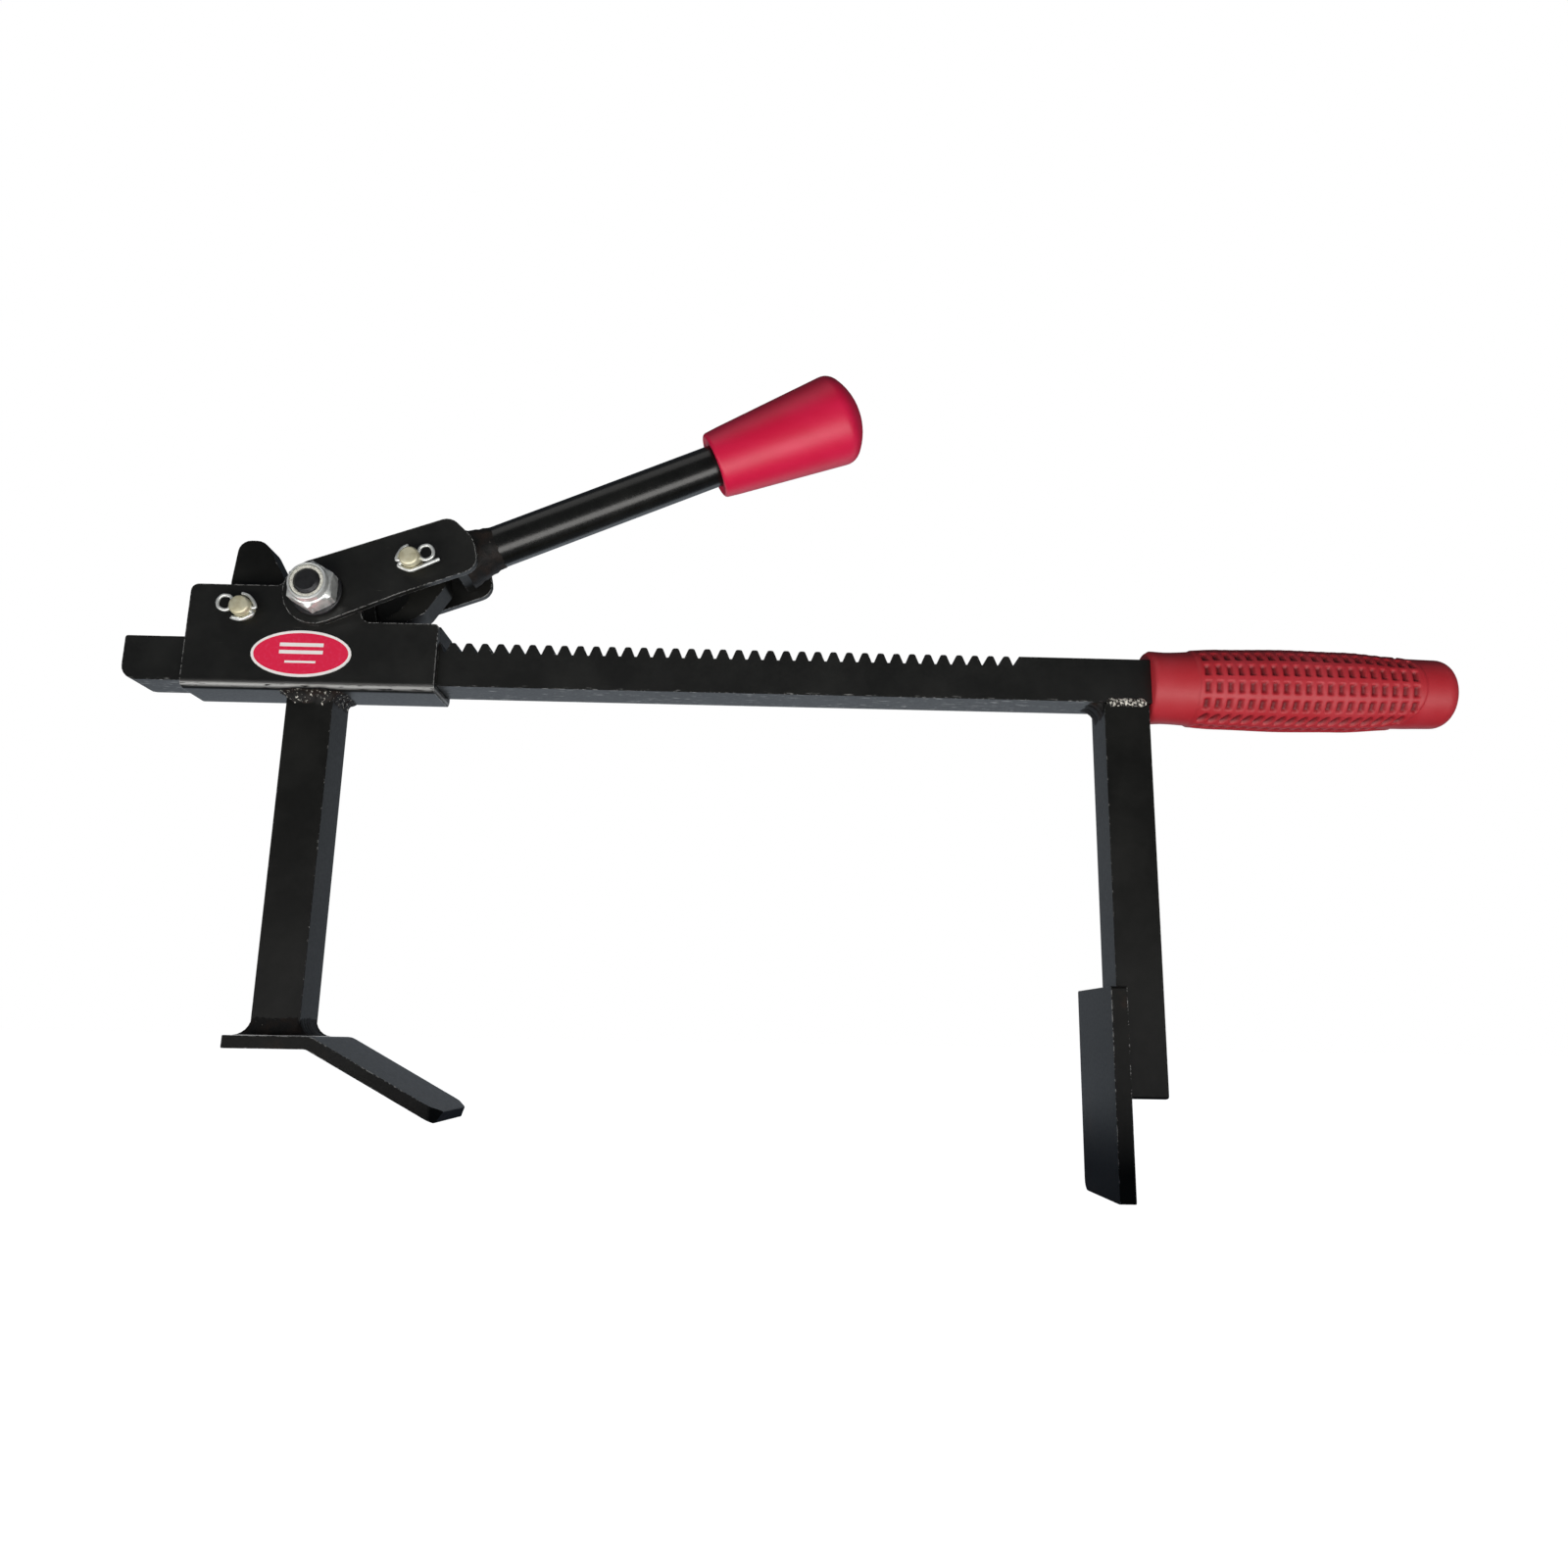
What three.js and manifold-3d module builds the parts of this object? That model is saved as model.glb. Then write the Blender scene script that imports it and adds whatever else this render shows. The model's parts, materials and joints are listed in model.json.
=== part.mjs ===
// Strapping tensioner tool: a toothed bar with a fixed arm and a grip at one end, and a carriage that a
// hand lever racks along the bar. Millimetres. While it is being built, x runs along the bar from its
// plain end, y points away from the user, z is up, and the bar's centre line is y = 0, z = 0.
// At the end the whole tool is stood on z = 0 with its origin under its middle.
import * as THREE from 'three';
import { mergeVertices } from 'three/addons/utils/BufferGeometryUtils.js';
import Module from 'manifold-3d';

const wasm = await Module();
wasm.setup();

// Clearances.
const JOIN_GAP = 0.1; // between pieces that are welded or clamped together
const RUN_GAP = 0.3; // between pieces that slide or turn past each other
const TURNED_GAP = 0.3; // between pieces that meet inside the turned lever
const PIN_GAP = 0.12; // round a pin, bolt or rod in its hole

// Toothed bar.
const BAR_SIDE = 18;
const BAR_END_RADIUS = 6;
const TOOTH_PITCH = 2 * Math.PI; // module 2
const TOOTH_DEPTH = 3.9;
const TOOTH_CREST = 2.2;
const TOOTH_CREST_ROUNDING = 1;
const TOOTH_FLANK_ANGLE = THREE.MathUtils.degToRad(22.5);
const FIRST_TOOTH_X = 46.7;
const PLAIN_STRETCH = 38; // least plain bar between the last tooth and the fixed arm

// Fixed arm, its foot plate and the grip.
const ARM_SIDE = BAR_SIDE; // the arms are cut from the bar's own stock
const FIXED_ARM_X = 387; // the face towards the carriage
const ARM_REACH = 161.6; // from the bar's centre line to the end of the fixed arm
const FOOT_WIDTH = 45;
const FIXED_FOOT_THICKNESS = 6;
const FIXED_FOOT_HEIGHT = 76;
const FIXED_FOOT_DROP = 35.5; // below the end of the arm
const FIXED_FOOT_CORNER = 4;
const GRIP_START_GAP = 1.3;
const GRIP_LENGTH = 124.1;
const GRIP_WALL = 2.07; // at the rim, over the bar's corners
const GRIP_SWELL = 1.9; // from the rim to the middle
const GRIP_END_WALL = 14.8;

// Carriage: a folded channel round the bar, with an arm and a bent foot under it.
const SHEET = 3;
const CHANNEL_BEHIND = 50.9; // from the pivot back towards the plain end
const CHANNEL_AHEAD = 47.4; // from the pivot towards the grip
const CHANNEL_TALL_RISE = 21; // of the part that carries the holding pawl, over the bar
const CHANNEL_STEP_AHEAD = 17.4; // from the pivot to where the cheeks step down
const BRIDGE_THICKNESS = 6.2;
const BRIDGE_LENGTH = 4;
const SLIDING_ARM_BEHIND = 10.1; // from the pivot to the arm's far face
const SLIDING_ARM_SHORTER = 17.6; // than the fixed arm
const SLIDING_FOOT_THICKNESS = 4.6;
const SLIDING_FOOT_OVERHANG = 4; // behind the arm
const SLIDING_FOOT_FLAT = 30;
const TONGUE_LENGTH = 53;
const TONGUE_ANGLE = THREE.MathUtils.degToRad(28);
const TONGUE_CORNER_LENGTH = 4;
const TONGUE_CORNER_WIDTH = 7.5;

// Pivot bolt.
const PIVOT_X = 75.6;
const PIVOT_RISE = 17.3; // over the bar
const BOLT_RADIUS = 5;
const HEX_ACROSS_FLATS = 17;
const BOLT_HEAD_HEIGHT = 6.4;
const NUT_HEX_HEIGHT = 7;
const NUT_COLLAR_HEIGHT = 3;
const NUT_COLLAR_RADIUS = 7.7;
const NYLON_OUTER_RADIUS = 6.6;
const NYLON_DEPTH = 2.4;
const BOLT_STICK_OUT = 0.8;
const WASHER_RADIUS = 10;
const WASHER_THICKNESS = 2;
const BUSH_RADIUS = 8;
const LUG_RADIUS = 12.5;

// Clevis pins and their split cotters.
const PIN_RADIUS = 4;
const PIN_HEAD_OVERHANG = 2;
const PIN_HEAD_THICKNESS = 2.5;
const PIN_TAIL = 6.5; // past the plate, on the cotter's side
const COTTER_WIRE_RADIUS = 0.65;
const COTTER_LEG_OFFSET = 0.76;
const COTTER_HOLE_RADIUS = 1.65;
const COTTER_INSET = 3.2; // from the plate to the cotter's middle
const HOLDING_PIN_BEHIND = 28.9; // from the pivot
const HOLDING_PIN_RISE = 10.4; // over the bar
const SPACER_WALL = 2;

// Pawls and their springs.
const PAWL_THICKNESS = 12;
const HOLDING_TIP_GAP = 0.6; // over the tooth crests
const DRIVE_TIP_GAP = 1.4; // so that the tip stays clear of the crests all through the stroke
const PAWL_TIP_WIDTH = 2.6;
const PAWL_EYE_WALL = 4; // round the pin
const SPRING_WIRE_RADIUS = 0.45;
const SPRING_EYE_GAP = 1.4; // from the pin to the middle of the wire
const SPRING_TURNS = 2;
const SPRING_END_GAP = 0.12; // from the pawl, and from the cheek
const SPRING_LEG = 7;

// Lever. Its pieces are drawn along +x from the pivot and then turned up.
const LEVER_ANGLE = THREE.MathUtils.degToRad(24);
const LEVER_PLATE = 3;
const LEVER_PIN_REACH = 38.5;
const LEVER_PIN_DROP = 2;
const LEVER_WEB_AHEAD = 13.5; // from the drive pawl's pin, clear of the pawl at full swing
const LEVER_WEB_THICKNESS = 4;
const LEVER_WEB_HEIGHT = 19;
const LEVER_PLATE_AHEAD = 25; // from the drive pawl's pin to the end of the fork plates
const ROD_RADIUS = 8.6;
const ROD_DROP = 1.5; // of the rod's centre line below the pivot
const ROD_WELD_LENGTH = 14;
const KNOB_START = 167;
const KNOB_END = 233;
const KNOB_WALL = 5.2; // at the small end, round the rod
const KNOB_SWELL = 5.4; // from the small end to the large one
const KNOB_LIP_ROUNDING = 1.4;
const KNOB_RIM_ROUNDING = 3.5;
const KNOB_CAP_RADIUS = 26;
const KNOB_BORE_DEPTH = 48;

// Weld beads.
const CORNER_WELD_LEG = 6;
const SEAM_WELD_WIDTH = 4;
const SEAM_WELD_HEIGHT = 0.9;
const UPRIGHT_WELD_LEG = 4;
const COLLAR_WELD_HEIGHT = 4.5;
const COLLAR_WELD_THIN = 0.9; // where the bead runs out on the arm
const ARM_WELD_LEG = 3.2;
const FOOT_WELD_LEG = 3.8;

// Label.
const LABEL_LENGTH = 39;
const LABEL_HEIGHT = 19;
const LABEL_THICKNESS = 0.4;
const LABEL_BEHIND = 5; // from the pivot
const LABEL_Z = 1.8;

// Worked-out places that several pieces share.
const barHalf = BAR_SIDE / 2;
const armHalf = ARM_SIDE / 2;
const channelInner = barHalf + RUN_GAP;
const channelOuter = channelInner + SHEET;
const channelStartX = PIVOT_X - CHANNEL_BEHIND;
const channelEndX = PIVOT_X + CHANNEL_AHEAD;
const channelLowTop = barHalf + RUN_GAP + BRIDGE_THICKNESS;
const channelTallTop = barHalf + CHANNEL_TALL_RISE;
const pivotZ = barHalf + PIVOT_RISE;
const holdingPinX = PIVOT_X - HOLDING_PIN_BEHIND;
const holdingPinZ = barHalf + HOLDING_PIN_RISE;
const leverInner = channelOuter + RUN_GAP;
const leverOuter = leverInner + LEVER_PLATE;
const pawlHalf = PAWL_THICKNESS / 2;
const slidingArmX = PIVOT_X - SLIDING_ARM_BEHIND;
const slidingArmTop = -channelOuter - JOIN_GAP;
const slidingArmBottom = SLIDING_ARM_SHORTER - ARM_REACH;
const fixedArmTop = -barHalf - JOIN_GAP;
const fixedArmBottom = -ARM_REACH;
const fixedFootBottom = fixedArmBottom - FIXED_FOOT_DROP;
const fixedFootTop = fixedFootBottom + FIXED_FOOT_HEIGHT;
const gripStartX = FIXED_ARM_X + ARM_SIDE + GRIP_START_GAP;
const gripRimRadius = barHalf * Math.SQRT2 + GRIP_WALL;
const barEndX = gripStartX + GRIP_LENGTH - GRIP_END_WALL;
const toothCount = 1 + Math.floor((FIXED_ARM_X - PLAIN_STRETCH - FIRST_TOOTH_X) / TOOTH_PITCH);
const drivePinX = PIVOT_X + LEVER_PIN_REACH * Math.cos(LEVER_ANGLE) + LEVER_PIN_DROP * Math.sin(LEVER_ANGLE);
const drivePinZ = pivotZ + LEVER_PIN_REACH * Math.sin(LEVER_ANGLE) - LEVER_PIN_DROP * Math.cos(LEVER_ANGLE);
const leverWebStart = LEVER_PIN_REACH + LEVER_WEB_AHEAD;
const pinHeadRadius = PIN_RADIUS + PIN_HEAD_OVERHANG;
const spacerRadius = PIN_RADIUS + SPACER_WALL;
const springRadius = PIN_RADIUS + SPRING_EYE_GAP;
const springRoom = channelInner - pawlHalf - 2 * SPRING_END_GAP; // between the pawl and the cheek
const springPitch = (springRoom - 2 * SPRING_WIRE_RADIUS) / SPRING_TURNS;
const pawlEye = PIN_RADIUS + PAWL_EYE_WALL;

// Materials.
const paint = (name) => finish(name, 0x161714, 0.42, 0.2);
const zinc = (name) => finish(name, 0xc9cbc6, 0.32, 0.9);
const yellowZinc = (name) => finish(name, 0xcfc79a, 0.4, 0.8);
const darkSteel = (name) => finish(name, 0x3a3a3c, 0.45, 0.8);
const weldSteel = (name) => finish(name, 0x2a2a29, 0.6, 0.4);
const rubber = (name) => finish(name, 0x6d1418, 0.75, 0.0);
const plastic = (name) => finish(name, 0x9a1030, 0.35, 0.0);
const nylon = (name) => finish(name, 0xd8d8d0, 0.5, 0.0);
const labelRed = (name) => finish(name, 0xe0355c, 0.45, 0.0);

function finish(name, color, roughness, metalness) {
  return new THREE.MeshStandardMaterial({ name, color, roughness, metalness });
}

// One named piece.
function piece(name, geometry, material) {
  const mesh = new THREE.Mesh(geometry, material(name));
  mesh.name = name;
  return mesh;
}

// A closed geometry as a solid that can be joined and cut.
function solid(geometry) {
  const bare = geometry.index ? geometry.toNonIndexed() : geometry.clone();
  bare.deleteAttribute('normal');
  bare.deleteAttribute('uv');
  const merged = mergeVertices(bare, 1e-4);
  const vertProperties = Float32Array.from(merged.attributes.position.array);
  const triVerts = Uint32Array.from(merged.index.array);
  return new wasm.Manifold(new wasm.Mesh({ numProp: 3, vertProperties, triVerts }));
}

// A joined or cut solid as a geometry again.
function surface(body) {
  const mesh = body.getMesh();
  const geometry = new THREE.BufferGeometry();
  geometry.setAttribute('position', new THREE.BufferAttribute(Float32Array.from(mesh.vertProperties), 3));
  geometry.setIndex(new THREE.BufferAttribute(Uint32Array.from(mesh.triVerts), 1));
  return geometry;
}

// Corners [a, b, radius] as an outline whose corners are rounded by true arcs.
function roundedOutline(corners) {
  const points = [];
  corners.forEach(([a, b, radius], index) => {
    const corner = new THREE.Vector2(a, b);
    if (!radius) {
      points.push(corner);
      return;
    }
    const before = corners[(index + corners.length - 1) % corners.length];
    const after = corners[(index + 1) % corners.length];
    const toBefore = new THREE.Vector2(before[0], before[1]).sub(corner).normalize();
    const toAfter = new THREE.Vector2(after[0], after[1]).sub(corner).normalize();
    const half = Math.acos(THREE.MathUtils.clamp(toBefore.dot(toAfter), -1, 1)) / 2;
    const inward = toBefore.clone().add(toAfter).normalize();
    const centre = inward.multiplyScalar(radius / Math.sin(half)).add(corner);
    const start = corner.clone().addScaledVector(toBefore, radius / Math.tan(half)).sub(centre).angle();
    let sweep = corner.clone().addScaledVector(toAfter, radius / Math.tan(half)).sub(centre).angle() - start;
    sweep = Math.atan2(Math.sin(sweep), Math.cos(sweep));
    const steps = Math.max(2, Math.ceil(Math.abs(sweep) / (Math.PI / 10)));
    for (let step = 0; step <= steps; step += 1) {
      const angle = start + (sweep * step) / steps;
      points.push(new THREE.Vector2(radius * Math.cos(angle), radius * Math.sin(angle)).add(centre));
    }
  });
  return points;
}

const AXES = {
  x: new THREE.Matrix4().makeBasis(
    new THREE.Vector3(0, 1, 0),
    new THREE.Vector3(0, 0, 1),
    new THREE.Vector3(1, 0, 0),
  ),
  y: new THREE.Matrix4().makeBasis(
    new THREE.Vector3(1, 0, 0),
    new THREE.Vector3(0, 0, 1),
    new THREE.Vector3(0, -1, 0),
  ),
  z: new THREE.Matrix4(),
};

// An outline in the plane across an axis, extruded between two places on that axis.
function slab(axis, outline, from, to, holes = []) {
  const shape = new THREE.Shape(outline);
  shape.holes = holes.map((hole) => new THREE.Path(hole));
  const geometry = new THREE.ExtrudeGeometry(shape, { depth: to - from, bevelEnabled: false });
  geometry.applyMatrix4(AXES[axis]);
  const shift = { x: [from, 0, 0], y: [0, to, 0], z: [0, 0, from] }[axis];
  return geometry.translate(...shift);
}

function box(fromX, toX, fromY, toY, fromZ, toZ) {
  const geometry = new THREE.BoxGeometry(toX - fromX, toY - fromY, toZ - fromZ);
  return geometry.translate((fromX + toX) / 2, (fromY + toY) / 2, (fromZ + toZ) / 2);
}

function circle(a, b, radius, segments = 32) {
  return new THREE.EllipseCurve(a, b, radius, radius).getPoints(segments).slice(0, -1);
}

// A cylinder whose axis lies along y.
function cylinderY(x, z, radius, fromY, toY, segments = 32) {
  return new THREE.CylinderGeometry(radius, radius, toY - fromY, segments)
    .translate(x, (fromY + toY) / 2, z);
}

// A ring whose axis lies along y.
function ringY(x, z, outer, inner, fromY, toY) {
  return slab('y', circle(x, z, outer), fromY, toY, [circle(x, z, inner)]);
}

// A hexagonal prism whose axis lies along y, with two flats level.
function hexY(x, z, fromY, toY) {
  const corner = HEX_ACROSS_FLATS / Math.sqrt(3);
  return cylinderY(0, 0, corner, fromY, toY, 6).rotateY(Math.PI / 2).translate(x, 0, z);
}

// A round wire swept along a curve.
function wire(points, radius, steps, sides = 6) {
  const path = new THREE.CatmullRomCurve3(points);
  const section = new THREE.Shape(circle(0, 0, radius, sides));
  return new THREE.ExtrudeGeometry(section, { steps, extrudePath: path, bevelEnabled: false });
}

// ---------------------------------------------------------------- toothed bar and fixed end

function barGeometry() {
  const flankRun = TOOTH_DEPTH * Math.tan(TOOTH_FLANK_ANGLE);
  const halfCrest = TOOTH_CREST / 2;
  const top = [];
  for (let index = toothCount - 1; index >= 0; index -= 1) {
    const crest = FIRST_TOOTH_X + index * TOOTH_PITCH;
    top.push([crest + halfCrest + flankRun, barHalf - TOOTH_DEPTH]);
    top.push([crest + halfCrest, barHalf, TOOTH_CREST_ROUNDING]);
    top.push([crest - halfCrest, barHalf, TOOTH_CREST_ROUNDING]);
    top.push([crest - halfCrest - flankRun, barHalf - TOOTH_DEPTH]);
  }
  const firstValley = FIRST_TOOTH_X - TOOTH_PITCH + halfCrest;
  const lastValley = FIRST_TOOTH_X + toothCount * TOOTH_PITCH - halfCrest;
  const outline = roundedOutline([
    [0, -barHalf, BAR_END_RADIUS],
    [barEndX, -barHalf],
    [barEndX, barHalf],
    [lastValley, barHalf],
    [lastValley - flankRun, barHalf - TOOTH_DEPTH],
    ...top,
    [firstValley + flankRun, barHalf - TOOTH_DEPTH],
    [firstValley, barHalf],
    [0, barHalf, 1],
  ]);
  return slab('y', outline, -barHalf, barHalf);
}

function fixedFootGeometry() {
  const half = FOOT_WIDTH / 2;
  const outline = roundedOutline([
    [-half, fixedFootBottom, 1],
    [half, fixedFootBottom, FIXED_FOOT_CORNER],
    [half, fixedFootTop, 1],
    [-half, fixedFootTop, 1],
  ]);
  const face = FIXED_ARM_X - JOIN_GAP;
  return slab('x', outline, face - FIXED_FOOT_THICKNESS, face);
}

// A weld bead along y in the corner below one face and beside another; side is -1 when it lies towards -x.
function cornerWeld(name, cornerX, cornerZ, side) {
  const leg = CORNER_WELD_LEG;
  const outline = [
    new THREE.Vector2(cornerX, cornerZ),
    new THREE.Vector2(cornerX + side * leg, cornerZ),
    new THREE.Vector2(cornerX + side * leg * 0.36, cornerZ - leg * 0.36),
    new THREE.Vector2(cornerX, cornerZ - leg),
  ];
  const ends = armHalf - 1;
  return piece(name, slab('y', side > 0 ? outline.reverse() : outline, -ends, ends), weldSteel);
}

// A low bead along the seam between the bar and the arm, on the arm's front (-1) or back (1) face.
function seamWeld(name, side) {
  const face = side * (armHalf + JOIN_GAP);
  const crown = face + side * SEAM_WELD_HEIGHT;
  const outline = [
    new THREE.Vector2(face, fixedArmTop - SEAM_WELD_WIDTH / 2),
    new THREE.Vector2(crown, fixedArmTop - SEAM_WELD_WIDTH / 5),
    new THREE.Vector2(crown, fixedArmTop + SEAM_WELD_WIDTH / 5),
    new THREE.Vector2(face, fixedArmTop + SEAM_WELD_WIDTH / 2),
  ];
  const from = FIXED_ARM_X + 1;
  const to = FIXED_ARM_X + ARM_SIDE - 1;
  return piece(name, slab('x', side > 0 ? outline : outline.reverse(), from, to), weldSteel);
}

// An upright bead in the corner between the arm's front or back face and the foot plate.
function uprightWeld(name, side) {
  const leg = UPRIGHT_WELD_LEG;
  const x = FIXED_ARM_X;
  const y = side * (armHalf + JOIN_GAP);
  const outline = [
    new THREE.Vector2(x, y),
    new THREE.Vector2(x + leg, y),
    new THREE.Vector2(x + leg * 0.4, y + side * leg * 0.4),
    new THREE.Vector2(x, y + side * leg),
  ];
  return piece(
    name,
    slab('z', side > 0 ? outline : outline.reverse(), fixedArmBottom + 2, fixedFootTop - 2),
    weldSteel,
  );
}

function gripGeometry() {
  const end = GRIP_LENGTH;
  const profile = new THREE.SplineCurve([
    new THREE.Vector2(gripRimRadius - 0.2, 5),
    new THREE.Vector2(gripRimRadius + 0.55 * GRIP_SWELL, 0.22 * end),
    new THREE.Vector2(gripRimRadius + GRIP_SWELL, 0.45 * end),
    new THREE.Vector2(gripRimRadius + 0.8 * GRIP_SWELL, 0.64 * end),
    new THREE.Vector2(gripRimRadius - 0.5, 0.86 * end),
    new THREE.Vector2(gripRimRadius - 0.9, 0.94 * end),
    new THREE.Vector2(gripRimRadius * 0.8, 0.985 * end),
    new THREE.Vector2(0, end),
  ]).getPoints(22);
  profile[profile.length - 1].x = 0;
  const outline = [
    new THREE.Vector2(0, 0),
    new THREE.Vector2(gripRimRadius - 1, 0),
    new THREE.Vector2(gripRimRadius, 1.5),
    ...profile,
  ];
  const turned = new THREE.LatheGeometry(outline, 32).rotateZ(-Math.PI / 2);
  const sleeve = solid(turned.translate(gripStartX, 0, 0));
  const boreHalf = barHalf + PIN_GAP;
  const bore = solid(box(gripStartX - 1, barEndX + 1, -boreHalf, boreHalf, -boreHalf, boreHalf));
  return surface(sleeve.subtract(bore));
}

function fixedEnd() {
  const group = new THREE.Group();
  const farX = FIXED_ARM_X + ARM_SIDE;
  const arm = box(FIXED_ARM_X, farX, -armHalf, armHalf, fixedArmBottom, fixedArmTop);
  group.add(
    piece('rack_bar', barGeometry(), paint),
    piece('fixed_arm', arm, paint),
    piece('fixed_foot_plate', fixedFootGeometry(), paint),
    piece('bar_grip', gripGeometry(), rubber),
    cornerWeld('fixed_arm_corner_weld', FIXED_ARM_X - JOIN_GAP, fixedArmTop, -1),
    seamWeld('fixed_arm_seam_weld_front', -1),
    seamWeld('fixed_arm_seam_weld_back', 1),
    uprightWeld('fixed_foot_weld_front', -1),
    uprightWeld('fixed_foot_weld_back', 1),
  );
  return group;
}

// ---------------------------------------------------------------- carriage

// The folded channel: its cross-section run along the bar, cut to the outline of its cheeks.
function channelGeometry() {
  const tall = pivotZ + LUG_RADIUS;
  const foldRadius = SHEET + 0.6;
  const stepX = PIVOT_X + CHANNEL_STEP_AHEAD;
  const section = roundedOutline([
    [-channelOuter, -channelOuter, foldRadius],
    [channelOuter, -channelOuter, foldRadius],
    [channelOuter, tall + 1],
    [channelInner, tall + 1],
    [channelInner, -channelInner, 0.6],
    [-channelInner, -channelInner, 0.6],
    [-channelInner, tall + 1],
    [-channelOuter, tall + 1],
  ]);
  const folded = solid(slab('x', section, channelStartX, channelEndX));
  const cheek = roundedOutline([
    [channelStartX, -channelOuter - 1],
    [channelEndX, -channelOuter - 1],
    [channelEndX, channelLowTop, 1.5],
    [stepX, channelLowTop, 4],
    [PIVOT_X + LUG_RADIUS, tall, LUG_RADIUS - 1.5],
    [PIVOT_X - LUG_RADIUS, tall, LUG_RADIUS - 1.5],
    [PIVOT_X - LUG_RADIUS - 3, channelTallTop, 3],
    [channelStartX, channelTallTop, 3],
  ]);
  const cheeks = solid(slab('y', cheek, -channelOuter - 1, channelOuter + 1));
  const through = channelOuter + 2;
  const boltHole = solid(cylinderY(PIVOT_X, pivotZ, BOLT_RADIUS + PIN_GAP, -through, through));
  const pinHole = solid(cylinderY(holdingPinX, holdingPinZ, PIN_RADIUS + PIN_GAP, -through, through));
  return surface(folded.intersect(cheeks).subtract(boltHole).subtract(pinHole));
}

// A block between the cheeks that keeps the bar down in the channel.
function bridgeGeometry() {
  const half = channelInner - JOIN_GAP;
  return box(channelEndX - BRIDGE_LENGTH, channelEndX, -half, half, barHalf + RUN_GAP, channelLowTop);
}

// A bead all the way round the square arm; its wide end lies against the piece above or below.
function collarWeld(name, wideZ, narrowZ, leg) {
  const centreX = slidingArmX + armHalf;
  const height = Math.abs(wideZ - narrowZ);
  const widen = (armHalf + leg) * Math.SQRT2;
  const narrow = (armHalf + COLLAR_WELD_THIN) * Math.SQRT2;
  const upWide = wideZ > narrowZ;
  const taper = new THREE.CylinderGeometry(upWide ? widen : narrow, upWide ? narrow : widen, height, 4);
  taper.rotateY(Math.PI / 4).rotateX(Math.PI / 2).translate(centreX, 0, (wideZ + narrowZ) / 2);
  const half = armHalf + JOIN_GAP;
  const arm = box(centreX - half, centreX + half, -half, half, narrowZ - height - 1, wideZ + height + 1);
  const armUp = box(centreX - half, centreX + half, -half, half, wideZ - height - 1, narrowZ + height + 1);
  return piece(name, surface(solid(taper).subtract(solid(upWide ? arm : armUp))), weldSteel);
}

// The bent foot: a flat part under the arm and a tongue that slopes down towards the fixed foot.
function slidingFootGeometry() {
  const top = slidingArmBottom - JOIN_GAP;
  const bottom = top - SLIDING_FOOT_THICKNESS;
  const backX = slidingArmX - SLIDING_FOOT_OVERHANG;
  const bendX = backX + SLIDING_FOOT_FLAT;
  const run = TONGUE_LENGTH * Math.cos(TONGUE_ANGLE);
  const fall = TONGUE_LENGTH * Math.sin(TONGUE_ANGLE);
  const tipX = bendX + run + SLIDING_FOOT_THICKNESS * Math.sin(TONGUE_ANGLE);
  const tipZ = bottom - fall + SLIDING_FOOT_THICKNESS * Math.cos(TONGUE_ANGLE);
  const side = roundedOutline([
    [backX, bottom, 0.5],
    [bendX, bottom, 3],
    [bendX + run, bottom - fall, 0.5],
    [tipX, tipZ, 0.5],
    [bendX + SLIDING_FOOT_THICKNESS * Math.tan(TONGUE_ANGLE / 2), top, 6],
    [backX, top, 0.5],
  ]);
  const half = FOOT_WIDTH / 2;
  const inner = half - TONGUE_CORNER_WIDTH;
  const plan = roundedOutline([
    [backX - 1, -half],
    [tipX - TONGUE_CORNER_LENGTH, -half, 3],
    [tipX + 0.5, -inner, 3],
    [tipX + 0.5, inner, 3],
    [tipX - TONGUE_CORNER_LENGTH, half, 3],
    [backX - 1, half],
  ]);
  const bent = solid(slab('y', side, -half, half));
  return surface(bent.intersect(solid(slab('z', plan, bottom - fall - 1, top + 1))));
}

function labelGeometry() {
  const x = PIVOT_X - LABEL_BEHIND;
  const oval = new THREE.EllipseCurve(x, LABEL_Z, LABEL_LENGTH / 2, LABEL_HEIGHT / 2);
  const back = -channelOuter - JOIN_GAP;
  return slab('y', oval.getPoints(40).slice(0, -1), back - LABEL_THICKNESS, back);
}

// A headed clevis pin along y, with a cross hole for its cotter.
function clevisPinGeometry(x, z, plateFace, cotterAngle) {
  const headFace = plateFace + JOIN_GAP;
  const cotterY = -plateFace - COTTER_INSET;
  const shank = solid(cylinderY(x, z, PIN_RADIUS, -plateFace - PIN_TAIL, headFace + 0.5, 28));
  const head = solid(cylinderY(x, z, pinHeadRadius, headFace, headFace + PIN_HEAD_THICKNESS, 28));
  const cross = new THREE.CylinderGeometry(COTTER_HOLE_RADIUS, COTTER_HOLE_RADIUS, 4 * PIN_RADIUS, 16);
  cross.rotateZ(Math.PI / 2).rotateY(-cotterAngle).translate(x, cotterY, z);
  return surface(shank.add(head).subtract(solid(cross)));
}

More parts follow.
